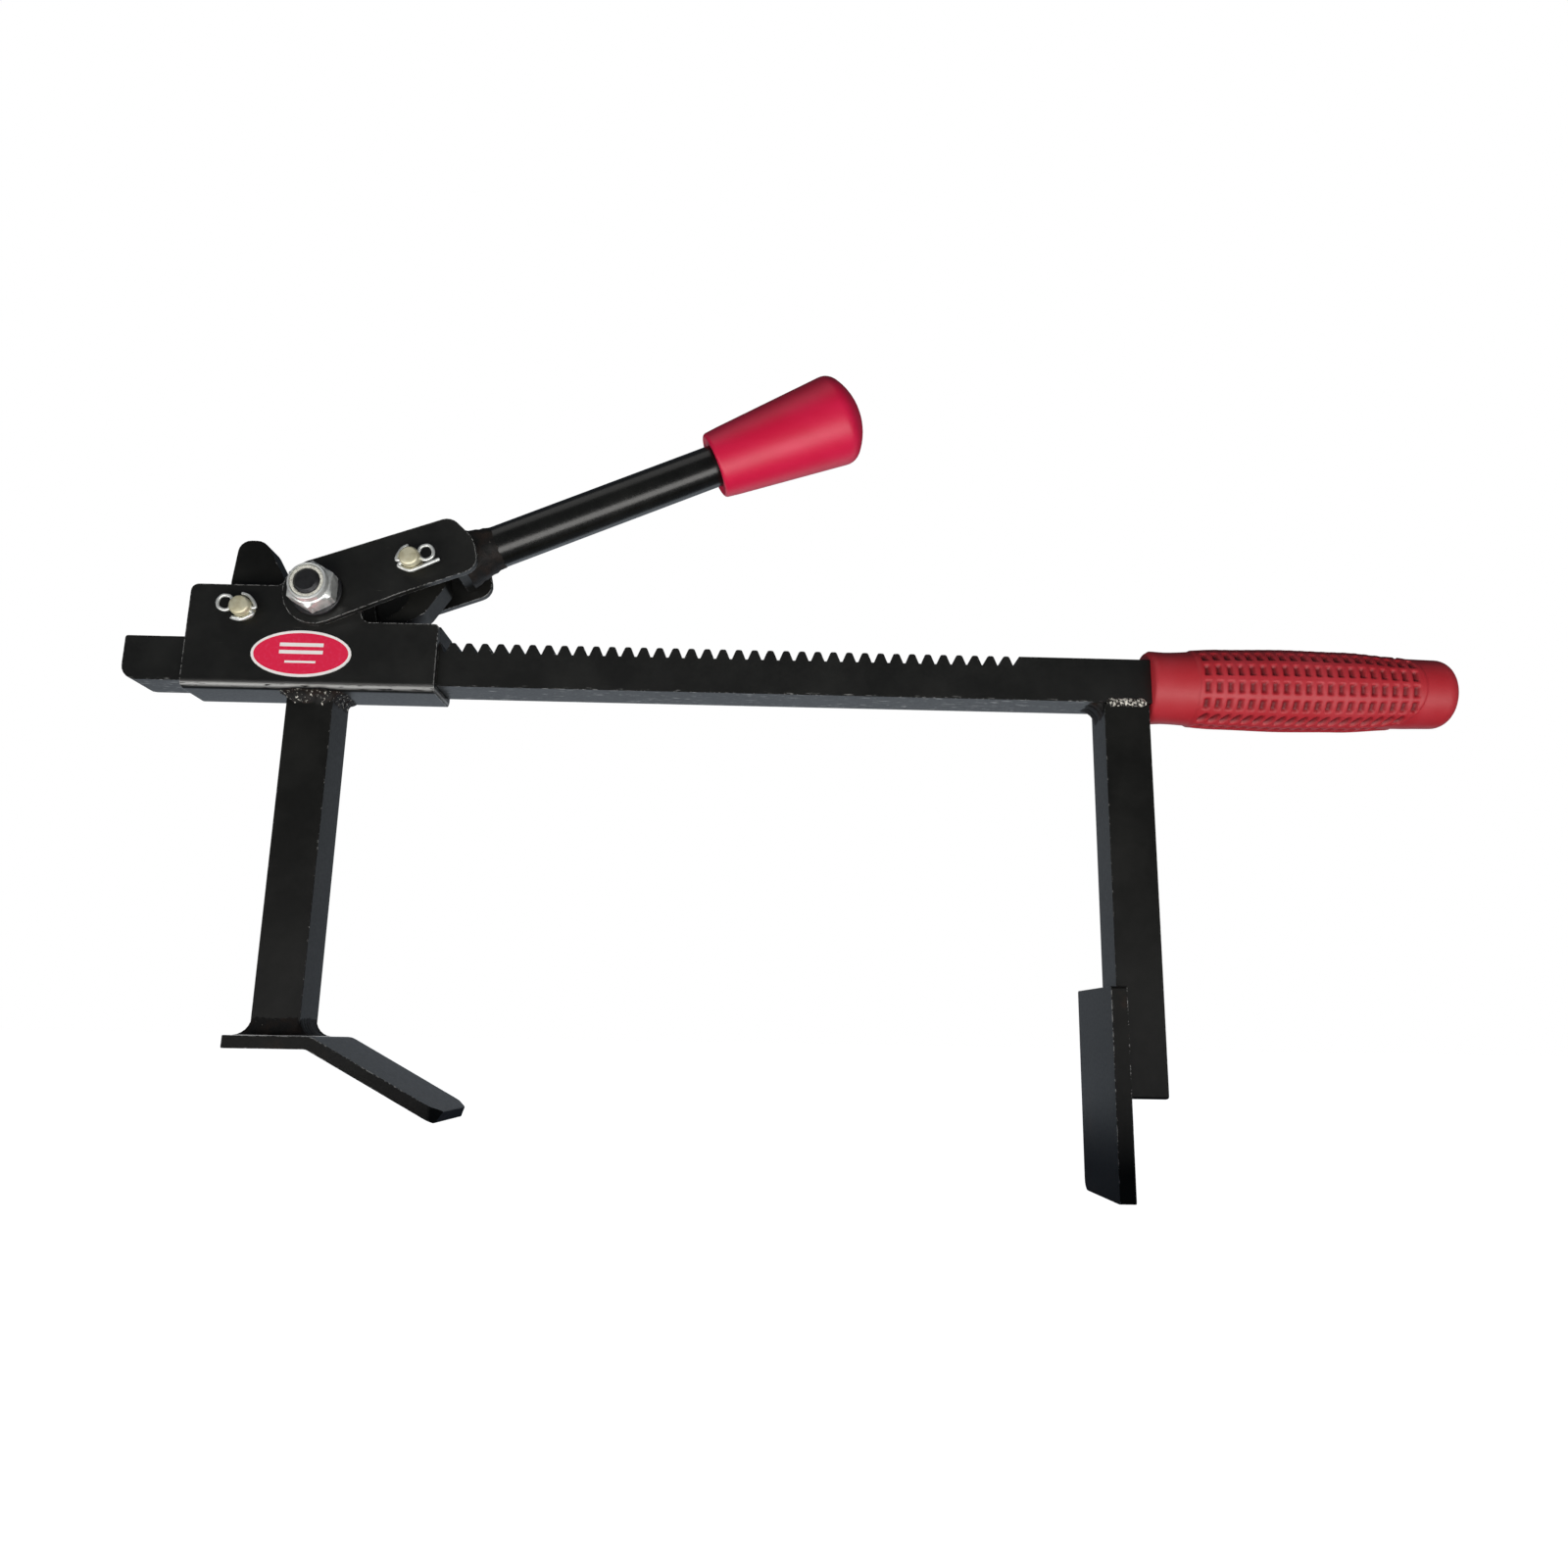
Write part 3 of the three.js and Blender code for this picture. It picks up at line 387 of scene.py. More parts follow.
@dataclass(frozen=True)
class Bead:
    """A weld bead: its legs, form and ripple, in metres."""

    out_leg: float
    up_leg: float
    form: BeadForm = BeadForm.FILLET
    ripple: float = 1.8 * MM  # from one ripple to the next
    lump: float = 0.16  # unevenness, as a share of the bead's size
    sunk: float = 0.6 * MM  # how far the bead runs into the plates
    DIP: ClassVar[float] = 0.08  # how much narrower it is between ripples
    END_RINGS: ClassVar[int] = 3  # over which an open end tapers
    END_SIZE: ClassVar[float] = 0.55
    HOLLOW_POWER: ClassVar[float] = 1.7
    FULL_POWER: ClassVar[float] = 0.8
    COARSE: ClassVar[float] = 260.0  # lumps per metre, for lumps about 4 mm across
    FINE: ClassVar[float] = 700.0  # for spatter about 1.5 mm across

    def section(self, out: Vector, up: Vector, size: float) -> list[Vector]:
        """The bead's cross-section about its root.

        Args:
            out: The direction out of the upright face.
            up: The direction up the upright face.
            size: The local scale.

        Returns:
            A loop of offsets from the root.
        """
        steps = [k / 6 for k in range(7)]
        if self.form is BeadForm.FLUSH:
            turns = [math.pi * t for t in steps]
            curve = [(self.out_leg * math.sin(t), self.up_leg * math.cos(t)) for t in turns]
        else:
            power = self.HOLLOW_POWER if self.form is BeadForm.HOLLOW else self.FULL_POWER
            curve = [(self.out_leg * (1 - t) ** power, self.up_leg * t**power) for t in steps]
        ring = [out * (a * size) + up * (b * size) for a, b in curve]
        return ring + [up * (curve[at][1] * size) - out * self.sunk for at in (-1, 0)]

    def build(
        self, name: str, path: Sequence[Vector], outs: Sequence[Vector], up: Vector, closed: bool = False
    ) -> Piece:
        """The bead laid along a path.

        Args:
            name: The piece's name.
            path: Closely spaced points of the root.
            outs: The direction out of the upright face at each point.
            up: The direction up the upright face.
            closed: Whether the bead closes on itself.

        Returns:
            The object.
        """
        rings, run = [], 0.0
        for index, (point, out) in enumerate(zip(path, outs)):
            if index:
                run += (point - path[index - 1]).length
            wave = abs(math.sin(math.pi * run / self.ripple))
            lumps = noise.noise(point * self.COARSE) + 0.5 * noise.noise(point * self.FINE)
            size = 1 - self.DIP * (1 - wave) + self.lump * lumps
            if not closed:
                left = min(index, len(path) - 1 - index) / self.END_RINGS
                size *= min(1.0, self.END_SIZE + (1 - self.END_SIZE) * left)
            rings.append([point + offset for offset in self.section(out, up, size)])
        return lofted(name, rings, closed=closed, sharp=50)


def straight(start: Vector, end: Vector, step: float = 0.45 * MM) -> list[Vector]:
    """Evenly spaced points from one place to another."""
    count = max(2, round((end - start).length / step))
    return [start.lerp(end, k / count) for k in range(count + 1)]


def round_square(centre: Vector, half: float, corner: float) -> tuple[list[Vector], list[Vector]]:
    """A level square with rounded corners.

    Args:
        centre: Its middle.
        half: Half its side.
        corner: The radius of its corners.

    Returns:
        Closely spaced points round it, and the outward direction at each.
    """
    points, outs = [], []
    along, round_corner = 40, 8
    for side in range(4):
        turn = Matrix.Rotation(side * math.pi / 2, 3, "Z")
        for step in range(along):
            y = (half - corner) * (step / (along - 1) * 2 - 1)
            points.append(centre + turn @ Vector((half, y, 0)))
            outs.append(turn @ Vector((1, 0, 0)))
        for step in range(1, round_corner):
            angle = math.pi / 2 * step / round_corner
            way = Vector((math.cos(angle), math.sin(angle), 0))
            points.append(centre + turn @ (Vector((half - corner, half - corner, 0)) + way * corner))
            outs.append(turn @ way)
    return points, outs


# ---------------------------------------------------------------- finishes


class Finish:
    """A finish that makes its material once and shares it between pieces."""

    name: str
    slot: Slot

    def material(self) -> bpy.types.Material:
        """Makes the finish's material, or finds it where it is already made.

        Returns:
            The material.
        """
        found = bpy.data.materials.get(self.name)
        if found:
            return found
        made = bpy.data.materials.new(self.name)
        made.use_nodes = True
        tree = made.node_tree
        tree.nodes.clear()
        shader = add(tree, "ShaderNodeBsdfPrincipled")
        add(tree, "ShaderNodeOutputMaterial", {"Surface": shader.outputs["BSDF"]})
        self.fill(tree, shader, add(tree, "ShaderNodeTexCoord").outputs["Object"])
        return made

    def fill(self, tree: bpy.types.NodeTree, shader: bpy.types.Node, place: Socket) -> None:
        """Sets the shader's colour, roughness and bump. Each finish has its own.

        Args:
            tree: The material's nodes.
            shader: Its shader.
            place: The place on the piece.
        """
        raise NotImplementedError


def layered(tree: bpy.types.NodeTree, base: Value, layers: Sequence[tuple[Socket, Value]]) -> Socket:
    """Lays colours over a base, each where its mask is white.

    Args:
        tree: The node tree.
        base: The colour underneath.
        layers: Pairs of mask and colour, from the lowest up.

    Returns:
        The resulting colour.
    """
    for mask, colour in layers:
        base = add(tree, "ShaderNodeMix", {0: mask, 6: base, 7: colour}, data_type="RGBA").outputs[2]
    return base


@dataclass(frozen=True)
class Enamel(Finish):
    """Black alkyd enamel, sprayed on mild steel.

    To the eye it is satin black with a faint orange peel, paler where hands and rags rub it, finely
    scratched, and rubbed through to bright steel along the edges that knock against things. On the channel a
    painted highlight, in the bare-steel colour, runs as a bright line part way up its rounded fold.
    """

    name: str = "satin_black_enamel"
    slot: Slot = Slot.PAINT
    paint: int = 0x0F0F0D
    rubbed: int = 0x1F1F1D
    # bare steel on chipped edges; on the channel's fold the same colour paints a highlight
    steel: int = 0xB4B4B2
    steel_metallic: float = 0.4  # bare steel is mostly under a film of dirt
    rust: int = 0x3A2416
    scratch: int = 0x55554F
    edge_width: float = 0.7 * MM  # how far the wear reaches in from an edge
    edge_wear: float = 0.3
    scratches: float = 0.5
    rust_share: float = 0.0
    roughness: float = 0.38
    gloss: float = 0.5
    bright_line_level: float = -1.0  # height of a bright line along a level edge, bare steel on the bar and a painted highlight on the channel's fold; here it is under the floor, so none is
    bright_line_half: float = 0.9 * MM  # half the bright line's width
    bright_line_share: float = 0.5
    cloud_size: float = 22 * MM  # rubbed patches, about as wide as a thumb
    chip_size: float = 1.3 * MM  # chips along an edge
    peel_size: float = 0.9 * MM  # orange peel, drawn coarser than its real 0.4 mm so that it shows
    # Scratches are about 16 mm long and 0.05 mm wide. They are drawn over ten times wider so that they show.
    scratch_size: Triple = (16 * MM, 0.8 * MM, 0.55 * MM)
    scratch_turn: Triple = (0.2, 0.5, 0.15)
    streak_size: Triple = (5 * MM, 1 * MM, 0.6 * MM)  # rubbed streaks along a level edge

    def fill(self, tree: bpy.types.NodeTree, shader: bpy.types.Node, place: Socket) -> None:
        """Satin black, with cloudy rubbing, fine scratches, bare edges and rust where the sort has it.

        Args:
            tree: The material's nodes.
            shader: Its shader.
            place: The place on the piece.
        """
        node = partial(add, tree)
        noise_at = {"Vector": place, "Scale": 1 / self.cloud_size, "Detail": 6.0, "Roughness": 0.62}
        cloud = node("ShaderNodeTexNoise", noise_at).outputs[0]
        noise_at = {"Vector": place, "Scale": 1 / self.chip_size, "Detail": 4.0, "Roughness": 0.6}
        grit = node("ShaderNodeTexNoise", noise_at).outputs[0]
        peel = node("ShaderNodeTexNoise", {"Vector": place, "Scale": 1 / self.peel_size, "Detail": 2.0})
        drawn = tuple(1 / size for size in self.scratch_size)
        turn = node("ShaderNodeMapping", {"Vector": place, "Rotation": self.scratch_turn, "Scale": drawn})
        noise_at = {"Vector": turn.outputs[0], "Scale": 1.0, "Detail": 3.0, "Roughness": 0.7}
        hairs = node("ShaderNodeTexNoise", noise_at).outputs[0]
        low = 0.80 - 0.1 * self.scratches
        spread = {"Value": hairs, "From Min": low, "From Max": low + 0.05, "To Max": 0.8}
        scratch = node("ShaderNodeMapRange", spread)
        rub = node("ShaderNodeMapRange", {"Value": cloud, "From Min": 0.42, "From Max": 0.72, "To Max": 0.85})
        # bare steel, and on the channel's fold a painted highlight
        bare = self.bare_steel_and_highlight(tree, place, grit)
        low = 0.66 - 0.2 * self.rust_share
        spread = {"Value": cloud, "From Min": low, "From Max": low + 0.14, "To Max": self.rust_share}
        rot = node("ShaderNodeMapRange", spread)
        colour = layered(
            tree,
            linear(self.paint),
            [
                (rub.outputs[0], linear(self.rubbed)),
                (rot.outputs[0], linear(self.rust)),
                (scratch.outputs[0], linear(self.scratch)),
                (bare, linear(self.steel)),
            ],
        )
        spread = {"Value": grit, "To Min": self.roughness - 0.06, "To Max": self.roughness + 0.12}
        rough = node("ShaderNodeMapRange", spread)
        bump = node("ShaderNodeBump", {"Height": peel.outputs[0], "Strength": 0.5, "Distance": 0.03 * MM})
        metal = node("ShaderNodeMath", {0: bare, 1: self.steel_metallic}, operation="MULTIPLY")
        looks = {"Base Color": colour, "Roughness": rough.outputs[0], "Metallic": metal.outputs[0]}
        looks.update({"Normal": bump.outputs[0], "IOR": 1.5, "Specular IOR Level": self.gloss})
        feed(tree, shader, looks)

    def bare_steel_and_highlight(self, tree: bpy.types.NodeTree, place: Socket, grit: Socket) -> Socket:
        """Chips along the sharp edges, where the paint is off, and a bright line along a level edge: bare
        streaks on the bar, and a painted highlight on the channel's rounded fold.

        Args:
            tree: The node tree.
            place: The place on the piece.
            grit: The noise that breaks the wear up.

        Returns:
            The mask of bare steel and painted highlight.
        """
        node = partial(add, tree)
        rounded = node("ShaderNodeBevel", {"Radius": self.edge_width}, samples=6).outputs[0]
        plain = node("ShaderNodeNewGeometry").outputs["Normal"]
        facing = node("ShaderNodeVectorMath", {0: rounded, 1: plain}, operation="DOT_PRODUCT")
        spread = {"Value": facing.outputs["Value"], "From Min": 0.985, "From Max": 0.86}
        edge = node("ShaderNodeMapRange", spread)
        low = 0.66 - 0.3 * self.edge_wear
        uneven = node("ShaderNodeMapRange", {"Value": grit, "From Min": low, "From Max": low + 0.08})
        chipped = node("ShaderNodeMath", {0: edge.outputs[0], 1: uneven.outputs[0]}, operation="MULTIPLY")
        # the bright line along a level edge; on the channel's fold it is a painted highlight
        bright_line = self.bright_edge_line(tree, place)
        return node("ShaderNodeMath", {0: chipped.outputs[0], 1: bright_line}, operation="MAXIMUM").outputs[0]

    def bright_edge_line(self, tree: bpy.types.NodeTree, place: Socket) -> Socket:
        """Streaks along a level edge: bare steel where the edge rubs on things, and a painted highlight on
        the channel's rounded fold.

        Args:
            tree: The node tree.
            place: The place on the piece.

        Returns:
            The streaks' mask.
        """
        node = partial(add, tree)
        level = node("ShaderNodeSeparateXYZ", {0: place}).outputs[2]
        over = node("ShaderNodeMath", {0: level, 1: self.bright_line_level}, operation="SUBTRACT").outputs[0]
        away = node("ShaderNodeMath", {0: over}, operation="ABSOLUTE").outputs[0]
        spread = {"Value": away, "From Max": self.bright_line_half, "To Min": 1.0, "To Max": 0.0}
        near = node("ShaderNodeMapRange", spread).outputs[0]
        drawn = tuple(1 / size for size in self.streak_size)
        turn = node("ShaderNodeMapping", {"Vector": place, "Scale": drawn}).outputs[0]
        streak = node("ShaderNodeTexNoise", {"Vector": turn, "Scale": 1.0, "Detail": 3.0}).outputs[0]
        low = 0.7 - 0.4 * self.bright_line_share
        broken = node("ShaderNodeMapRange", {"Value": streak, "From Min": low, "From Max": low + 0.12})
        return node("ShaderNodeMath", {0: near, 1: broken.outputs[0]}, operation="MULTIPLY").outputs[0]


@dataclass(frozen=True)
class WeldMetal(Finish):
    """Mild steel weld metal, laid by hand and sprayed over with thin enamel.

    To the eye it is lumpy and dull, a little rusty, with bare bright specks on its high spots.
    """

    name: str = "painted_weld_bead"
    slot: Slot = Slot.WELD
    paint: int = 0x141312
    rust: int = 0x2C2019
    bare: int = 0xE4E1D6
    specks: float = 0.4
    bare_metallic: float = 0.3
    gloss: float = 0.25
    roughness: float = 0.6
    cloud_size: float = 5 * MM  # rusty patches, about a bead's width
    grain_size: float = 1.1 * MM  # spatter and specks

    def fill(self, tree: bpy.types.NodeTree, shader: bpy.types.Node, place: Socket) -> None:
        """Dark paint and a little rust, with specks of metal.

        Args:
            tree: The material's nodes.
            shader: Its shader.
            place: The place on the piece.
        """
        node = partial(add, tree)
        noise_at = {"Vector": place, "Scale": 1 / self.cloud_size, "Detail": 5.0}
        cloud = node("ShaderNodeTexNoise", noise_at).outputs[0]
        noise_at = {"Vector": place, "Scale": 1 / self.grain_size, "Detail": 4.0, "Roughness": 0.65}
        grain = node("ShaderNodeTexNoise", noise_at).outputs[0]
        rot = node("ShaderNodeMapRange", {"Value": cloud, "From Min": 0.45, "From Max": 0.7, "To Max": 0.7})
        low = 0.76 - 0.14 * self.specks
        spread = {"Value": grain, "From Min": low, "From Max": low + 0.05}
        speck = node("ShaderNodeMapRange", spread).outputs[0]
        layers = [(rot.outputs[0], linear(self.rust)), (speck, linear(self.bare))]
        colour = layered(tree, linear(self.paint), layers)
        bump = node("ShaderNodeBump", {"Height": grain, "Strength": 0.8, "Distance": 0.25 * MM})
        metal = node("ShaderNodeMath", {0: speck, 1: self.bare_metallic}, operation="MULTIPLY")
        looks = {"Base Color": colour, "Metallic": metal.outputs[0], "Normal": bump.outputs[0]}
        looks.update({"Roughness": self.roughness, "Specular IOR Level": self.gloss})
        feed(tree, shader, looks)


@dataclass(frozen=True)
class PlatedSteel(Finish):
    """Steel hardware, barrel-plated.

    To the eye it is a metal with soft reflections, small dull patches and a fine tooled grain.
    """

    name: str = "bright_zinc_plate"
    slot: Slot = Slot.ZINC
    metal: int = 0xEEF0ED
    dull: int = 0xC2C4C1
    roughness: float = 0.3
    metallic: float = 0.6  # the rest is the plate's dull film
    patch_size: float = 3 * MM  # dull patches, as wide as the knocks that parts give each other in the barrel
    grain_size: float = 0.5 * MM  # tooling marks, drawn coarser than their real 0.1 mm so that they show

    def fill(self, tree: bpy.types.NodeTree, shader: bpy.types.Node, place: Socket) -> None:
        """Plated metal with dull patches and fine grain.

        Args:
            tree: The material's nodes.
            shader: Its shader.
            place: The place on the piece.
        """
        node = partial(add, tree)
        noise_at = {"Vector": place, "Scale": 1 / self.patch_size, "Detail": 4.0}
        patch = node("ShaderNodeTexNoise", noise_at).outputs[0]
        noise_at = {"Vector": place, "Scale": 1 / self.grain_size, "Detail": 3.0}
        grain = node("ShaderNodeTexNoise", noise_at).outputs[0]
        mask = node("ShaderNodeMapRange", {"Value": patch, "From Min": 0.4, "From Max": 0.7, "To Max": 0.8})
        colour = layered(tree, linear(self.metal), [(mask.outputs[0], linear(self.dull))])
        spread = {"Value": patch, "To Min": self.roughness - 0.08, "To Max": self.roughness + 0.2}
        rough = node("ShaderNodeMapRange", spread).outputs[0]
        bump = node("ShaderNodeBump", {"Height": grain, "Strength": 0.4, "Distance": 0.03 * MM}).outputs[0]
        looks = {"Base Color": colour, "Roughness": rough, "Normal": bump, "Metallic": self.metallic}
        feed(tree, shader, looks)


@dataclass(frozen=True)
class GripRubber(Finish):
    """PVC rubber, moulded over the tang.

    To the eye it is dark red and matt, with a paler bloom, a fine leathery grain, and pockets darkened by
    dirt and painted shade.
    """

    name: str = "moulded_red_rubber"
    slot: Slot = Slot.RUBBER
    red: int = 0xB2242E
    bloom: int = 0xC2434C
    # the dark red laid in the pockets by their depth: dirt, and painted shade in the recesses
    grime_and_pocket_shade: int = 0x56060F
    roughness: float = 0.48
    cloud_size: float = 18 * MM  # patches of bloom
    grain_size: float = 0.7 * MM  # leathery grain, drawn coarser than its real 0.3 mm so that it shows

    def fill(self, tree: bpy.types.NodeTree, shader: bpy.types.Node, place: Socket) -> None:
        """Matt dark red with a paler bloom, a fine grain, and pockets darkened by dirt and painted shade.

        Args:
            tree: The material's nodes.
            shader: Its shader.
            place: The place on the piece.
        """
        node = partial(add, tree)
        noise_at = {"Vector": place, "Scale": 1 / self.cloud_size, "Detail": 5.0}
        cloud = node("ShaderNodeTexNoise", noise_at).outputs[0]
        noise_at = {"Vector": place, "Scale": 1 / self.grain_size, "Detail": 3.0}
        grain = node("ShaderNodeTexNoise", noise_at).outputs[0]
        mask = node("ShaderNodeMapRange", {"Value": cloud, "From Min": 0.4, "From Max": 0.75, "To Max": 0.5})
        # pockets darkened by their depth: partly dirt, partly painted shade
        depth = node("ShaderNodeAttribute", attribute_name=GRIP_DEPTH)
        layers = [(mask.outputs[0], linear(self.bloom)), (depth.outputs["Fac"], linear(self.grime_and_pocket_shade))]
        colour = layered(tree, linear(self.red), layers)
        spread = {"Value": grain, "To Min": self.roughness - 0.05, "To Max": self.roughness + 0.12}
        rough = node("ShaderNodeMapRange", spread).outputs[0]
        bump = node("ShaderNodeBump", {"Height": grain, "Strength": 0.5, "Distance": 0.05 * MM}).outputs[0]
        feed(tree, shader, {"Base Color": colour, "Roughness": rough, "Normal": bump, "IOR": 1.5})


@dataclass(frozen=True)
class KnobPlastic(Finish):
    """Polypropylene, injection-moulded.

    To the eye it is crimson and semi-gloss, faintly cloudy with flow marks along its length.
    """

    name: str = "moulded_crimson_plastic"
    slot: Slot = Slot.KNOB
    crimson: int = 0xCC0E3C
    cloudy: int = 0xDC2050
    roughness: float = 0.42
    flow_size: Triple = (30 * MM, 12 * MM, 12 * MM)  # flow marks, half as long as the knob
    grain_size: float = 1.5 * MM  # ripples of the mould's polish, drawn coarser than their real 0.5 mm

    def fill(self, tree: bpy.types.NodeTree, shader: bpy.types.Node, place: Socket) -> None:
        """Semi-gloss crimson with faint clouds and flow marks.

        Args:
            tree: The material's nodes.
            shader: Its shader.
            place: The place on the piece.
        """
        node = partial(add, tree)
        drawn = tuple(1 / size for size in self.flow_size)
        flow = node("ShaderNodeMapping", {"Vector": place, "Scale": drawn}).outputs[0]
        cloud = node("ShaderNodeTexNoise", {"Vector": flow, "Scale": 1.0, "Detail": 5.0}).outputs[0]
        noise_at = {"Vector": place, "Scale": 1 / self.grain_size, "Detail": 3.0}
        grain = node("ShaderNodeTexNoise", noise_at).outputs[0]
        mask = node("ShaderNodeMapRange", {"Value": cloud, "From Min": 0.4, "From Max": 0.7, "To Max": 0.5})
        colour = layered(tree, linear(self.crimson), [(mask.outputs[0], linear(self.cloudy))])
        spread = {"Value": grain, "To Min": self.roughness - 0.05, "To Max": self.roughness + 0.07}
        rough = node("ShaderNodeMapRange", spread).outputs[0]
        bump = node("ShaderNodeBump", {"Height": grain, "Strength": 0.25, "Distance": 0.03 * MM}).outputs[0]
        feed(tree, shader, {"Base Color": colour, "Roughness": rough, "Normal": bump, "IOR": 1.49})


@dataclass(frozen=True)
class Nylon(Finish):
    """Nylon 6, moulded.

    To the eye it is off-white and a little waxy, with fine scuffs from the thread.
    """

    name: str = "moulded_nylon"
    slot: Slot = Slot.NYLON
    white: int = 0xD9D8CE
    scuff: int = 0xB5B3A8
    roughness: float = 0.45
    scuff_size: float = 0.8 * MM  # scuffs, about half a thread apart

    def fill(self, tree: bpy.types.NodeTree, shader: bpy.types.Node, place: Socket) -> None:
        """Off-white with fine scuffs.

        Args:
            tree: The material's nodes.
            shader: Its shader.
            place: The place on the piece.
        """
        node = partial(add, tree)
        noise_at = {"Vector": place, "Scale": 1 / self.scuff_size, "Detail": 4.0}
        fine = node("ShaderNodeTexNoise", noise_at).outputs[0]
        mask = node("ShaderNodeMapRange", {"Value": fine, "From Min": 0.45, "From Max": 0.65})
        colour = layered(tree, linear(self.white), [(mask.outputs[0], linear(self.scuff))])
        bump = node("ShaderNodeBump", {"Height": fine, "Strength": 0.4, "Distance": 0.04 * MM}).outputs[0]
        feed(tree, shader, {"Base Color": colour, "Normal": bump, "Roughness": self.roughness, "IOR": 1.53})


@dataclass(frozen=True)
class LabelFilm(Finish):
    """Vinyl film, printed and die-cut.

    To the eye it is a flat red oval with a white border and plain white bars, under a slight gloss.
    """

    name: str = "printed_label_film"
    slot: Slot = Slot.LABEL
    red: int = 0xE02048
    thin_red: int = 0xE5577A
    white: int = 0xF2EEEC
    roughness: float = 0.42
    border: float = 1.1 * MM
    middle: tuple[float, float] = (0.0, 0.0)
    half_length: float = 19.5 * MM
    half_height: float = 9.5 * MM
    ink_size: float = 1.2 * MM  # mottle of the ink, drawn coarser than its real 0.3 mm so that it shows
    # Each bar's level, height and half length.
    bars: tuple[Triple, ...] = (
        (3.6 * MM, 1.5 * MM, 8.5 * MM),
        (0.6 * MM, 1.5 * MM, 8.5 * MM),
        (-3.4 * MM, 0.9 * MM, 6.0 * MM),
    )

    def fill(self, tree: bpy.types.NodeTree, shader: bpy.types.Node, place: Socket) -> None:
        """Red field, white border and bars, with a little print grain.

        Args:
            tree: The material's nodes.
            shader: Its shader.
            place: The place on the piece.
        """
        node = partial(add, tree)
        parts = node("ShaderNodeSeparateXYZ", {0: place})
        offsets = []
        for axis, centre in zip((0, 2), self.middle):
            offset = node("ShaderNodeMath", {0: parts.outputs[axis], 1: centre}, operation="SUBTRACT")
            offsets.append(offset.outputs[0])
        squares = []
        for offset, half in zip(offsets, (self.half_length, self.half_height)):
            share = node("ShaderNodeMath", {0: offset, 1: half - self.border}, operation="DIVIDE")
            square = node("ShaderNodeMath", {0: share.outputs[0], 1: 2.0}, operation="POWER")
            squares.append(square.outputs[0])
        total = node("ShaderNodeMath", {0: squares[0], 1: squares[1]}, operation="ADD").outputs[0]
        rim = node("ShaderNodeMath", {0: total, 1: 1.0}, operation="GREATER_THAN").outputs[0]
        masks = [rim] + [self.bar_mask(tree, offsets, *bar) for bar in self.bars]
        noise_at = {"Vector": place, "Scale": 1 / self.ink_size, "Detail": 4.0}
        ink = node("ShaderNodeTexNoise", noise_at).outputs[0]
        thin = node("ShaderNodeMapRange", {"Value": ink, "From Min": 0.5, "From Max": 0.8, "To Max": 0.35})
        field = layered(tree, linear(self.red), [(thin.outputs[0], linear(self.thin_red))])
        colour = layered(tree, field, [(mask, linear(self.white)) for mask in masks])
        bump = node("ShaderNodeBump", {"Height": ink, "Strength": 0.2, "Distance": 0.03 * MM}).outputs[0]
        feed(tree, shader, {"Base Color": colour, "Normal": bump, "Roughness": self.roughness})

    @staticmethod
    def bar_mask(
        tree: bpy.types.NodeTree, offsets: Sequence[Socket], level: float, tall: float, half: float
    ) -> Socket:
        """Where one bar lies.

        Args:
            tree: The node tree.
            offsets: How far along and up the place is from the label's middle.
            level: The bar's height over the label's middle.
            tall: The bar's own height.
            half: Half the bar's length.

        Returns:
            The bar's mask.
        """
        whole = None
        for value, edge, sense in (
            (offsets[0], -half, "GREATER_THAN"),
            (offsets[0], half, "LESS_THAN"),
            (offsets[1], level - tall / 2, "GREATER_THAN"),
            (offsets[1], level + tall / 2, "LESS_THAN"),
        ):
            side = add(tree, "ShaderNodeMath", {0: value, 1: edge}, operation=sense).outputs[0]
            if whole:
                side = add(tree, "ShaderNodeMath", {0: whole, 1: side}, operation="MULTIPLY").outputs[0]
            whole = side
        return whole


PAINT = Enamel(gloss=0.25)
SHEET_PAINT = Enamel(name="satin_black_enamel_sheet", edge_wear=0.8, scratches=0.9)
FOOT_PAINT = Enamel(
    name="satin_black_enamel_foot", edge_wear=0.5, scratches=0.7, rust_share=0.5, gloss=0.2
)
ROD_PAINT = Enamel(name="gloss_black_enamel", roughness=0.22, edge_wear=0.1, scratches=0.3)
SPATTERED_WELD = WeldMetal(name="spattered_weld_bead", specks=1.15)
BARE_WELD = WeldMetal(name="bare_weld_bead", specks=1.9)
WELD = WeldMetal()
ZINC = PlatedSteel()
YELLOW_ZINC = PlatedSteel(
    name="yellow_zinc_plate",
    slot=Slot.YELLOW_ZINC,
    metal=0xDDD8BC,
    dull=0xB9B08C,
    roughness=0.42,
    metallic=0.5,
)
BLACK_OXIDE = PlatedSteel(
    name="black_oxide_steel",
    slot=Slot.DARK_STEEL,
    metal=0x4A4A4C,
    dull=0x333335,
    roughness=0.4,
    metallic=0.9,
)
RUBBER = GripRubber()
KNOB = KnobPlastic()
NYLON = Nylon()


# ---------------------------------------------------------------- putting pieces in place


def report(piece: Piece, what: str) -> None:
    """Logs one piece and what was done with it."""
    LOG.info("%s: %s", piece.name, what)


def place(piece: Piece, body: Body, finish: Finish, *nodes: str) -> Piece:
    """Gives a new piece its finish and body, and hides the CAD nodes that it stands for.

    Args:
        piece: The new piece.
        body: The body that it rides on.
        finish: Its finish.
        *nodes: The CAD nodes that it replaces.

    Returns:
        The piece.
    """
    piece.data.materials.clear()
    piece.data.materials.append(finish.material())
    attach(piece, body.value)
    if nodes:
        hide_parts(*nodes)
    report(piece, "built")
    return piece


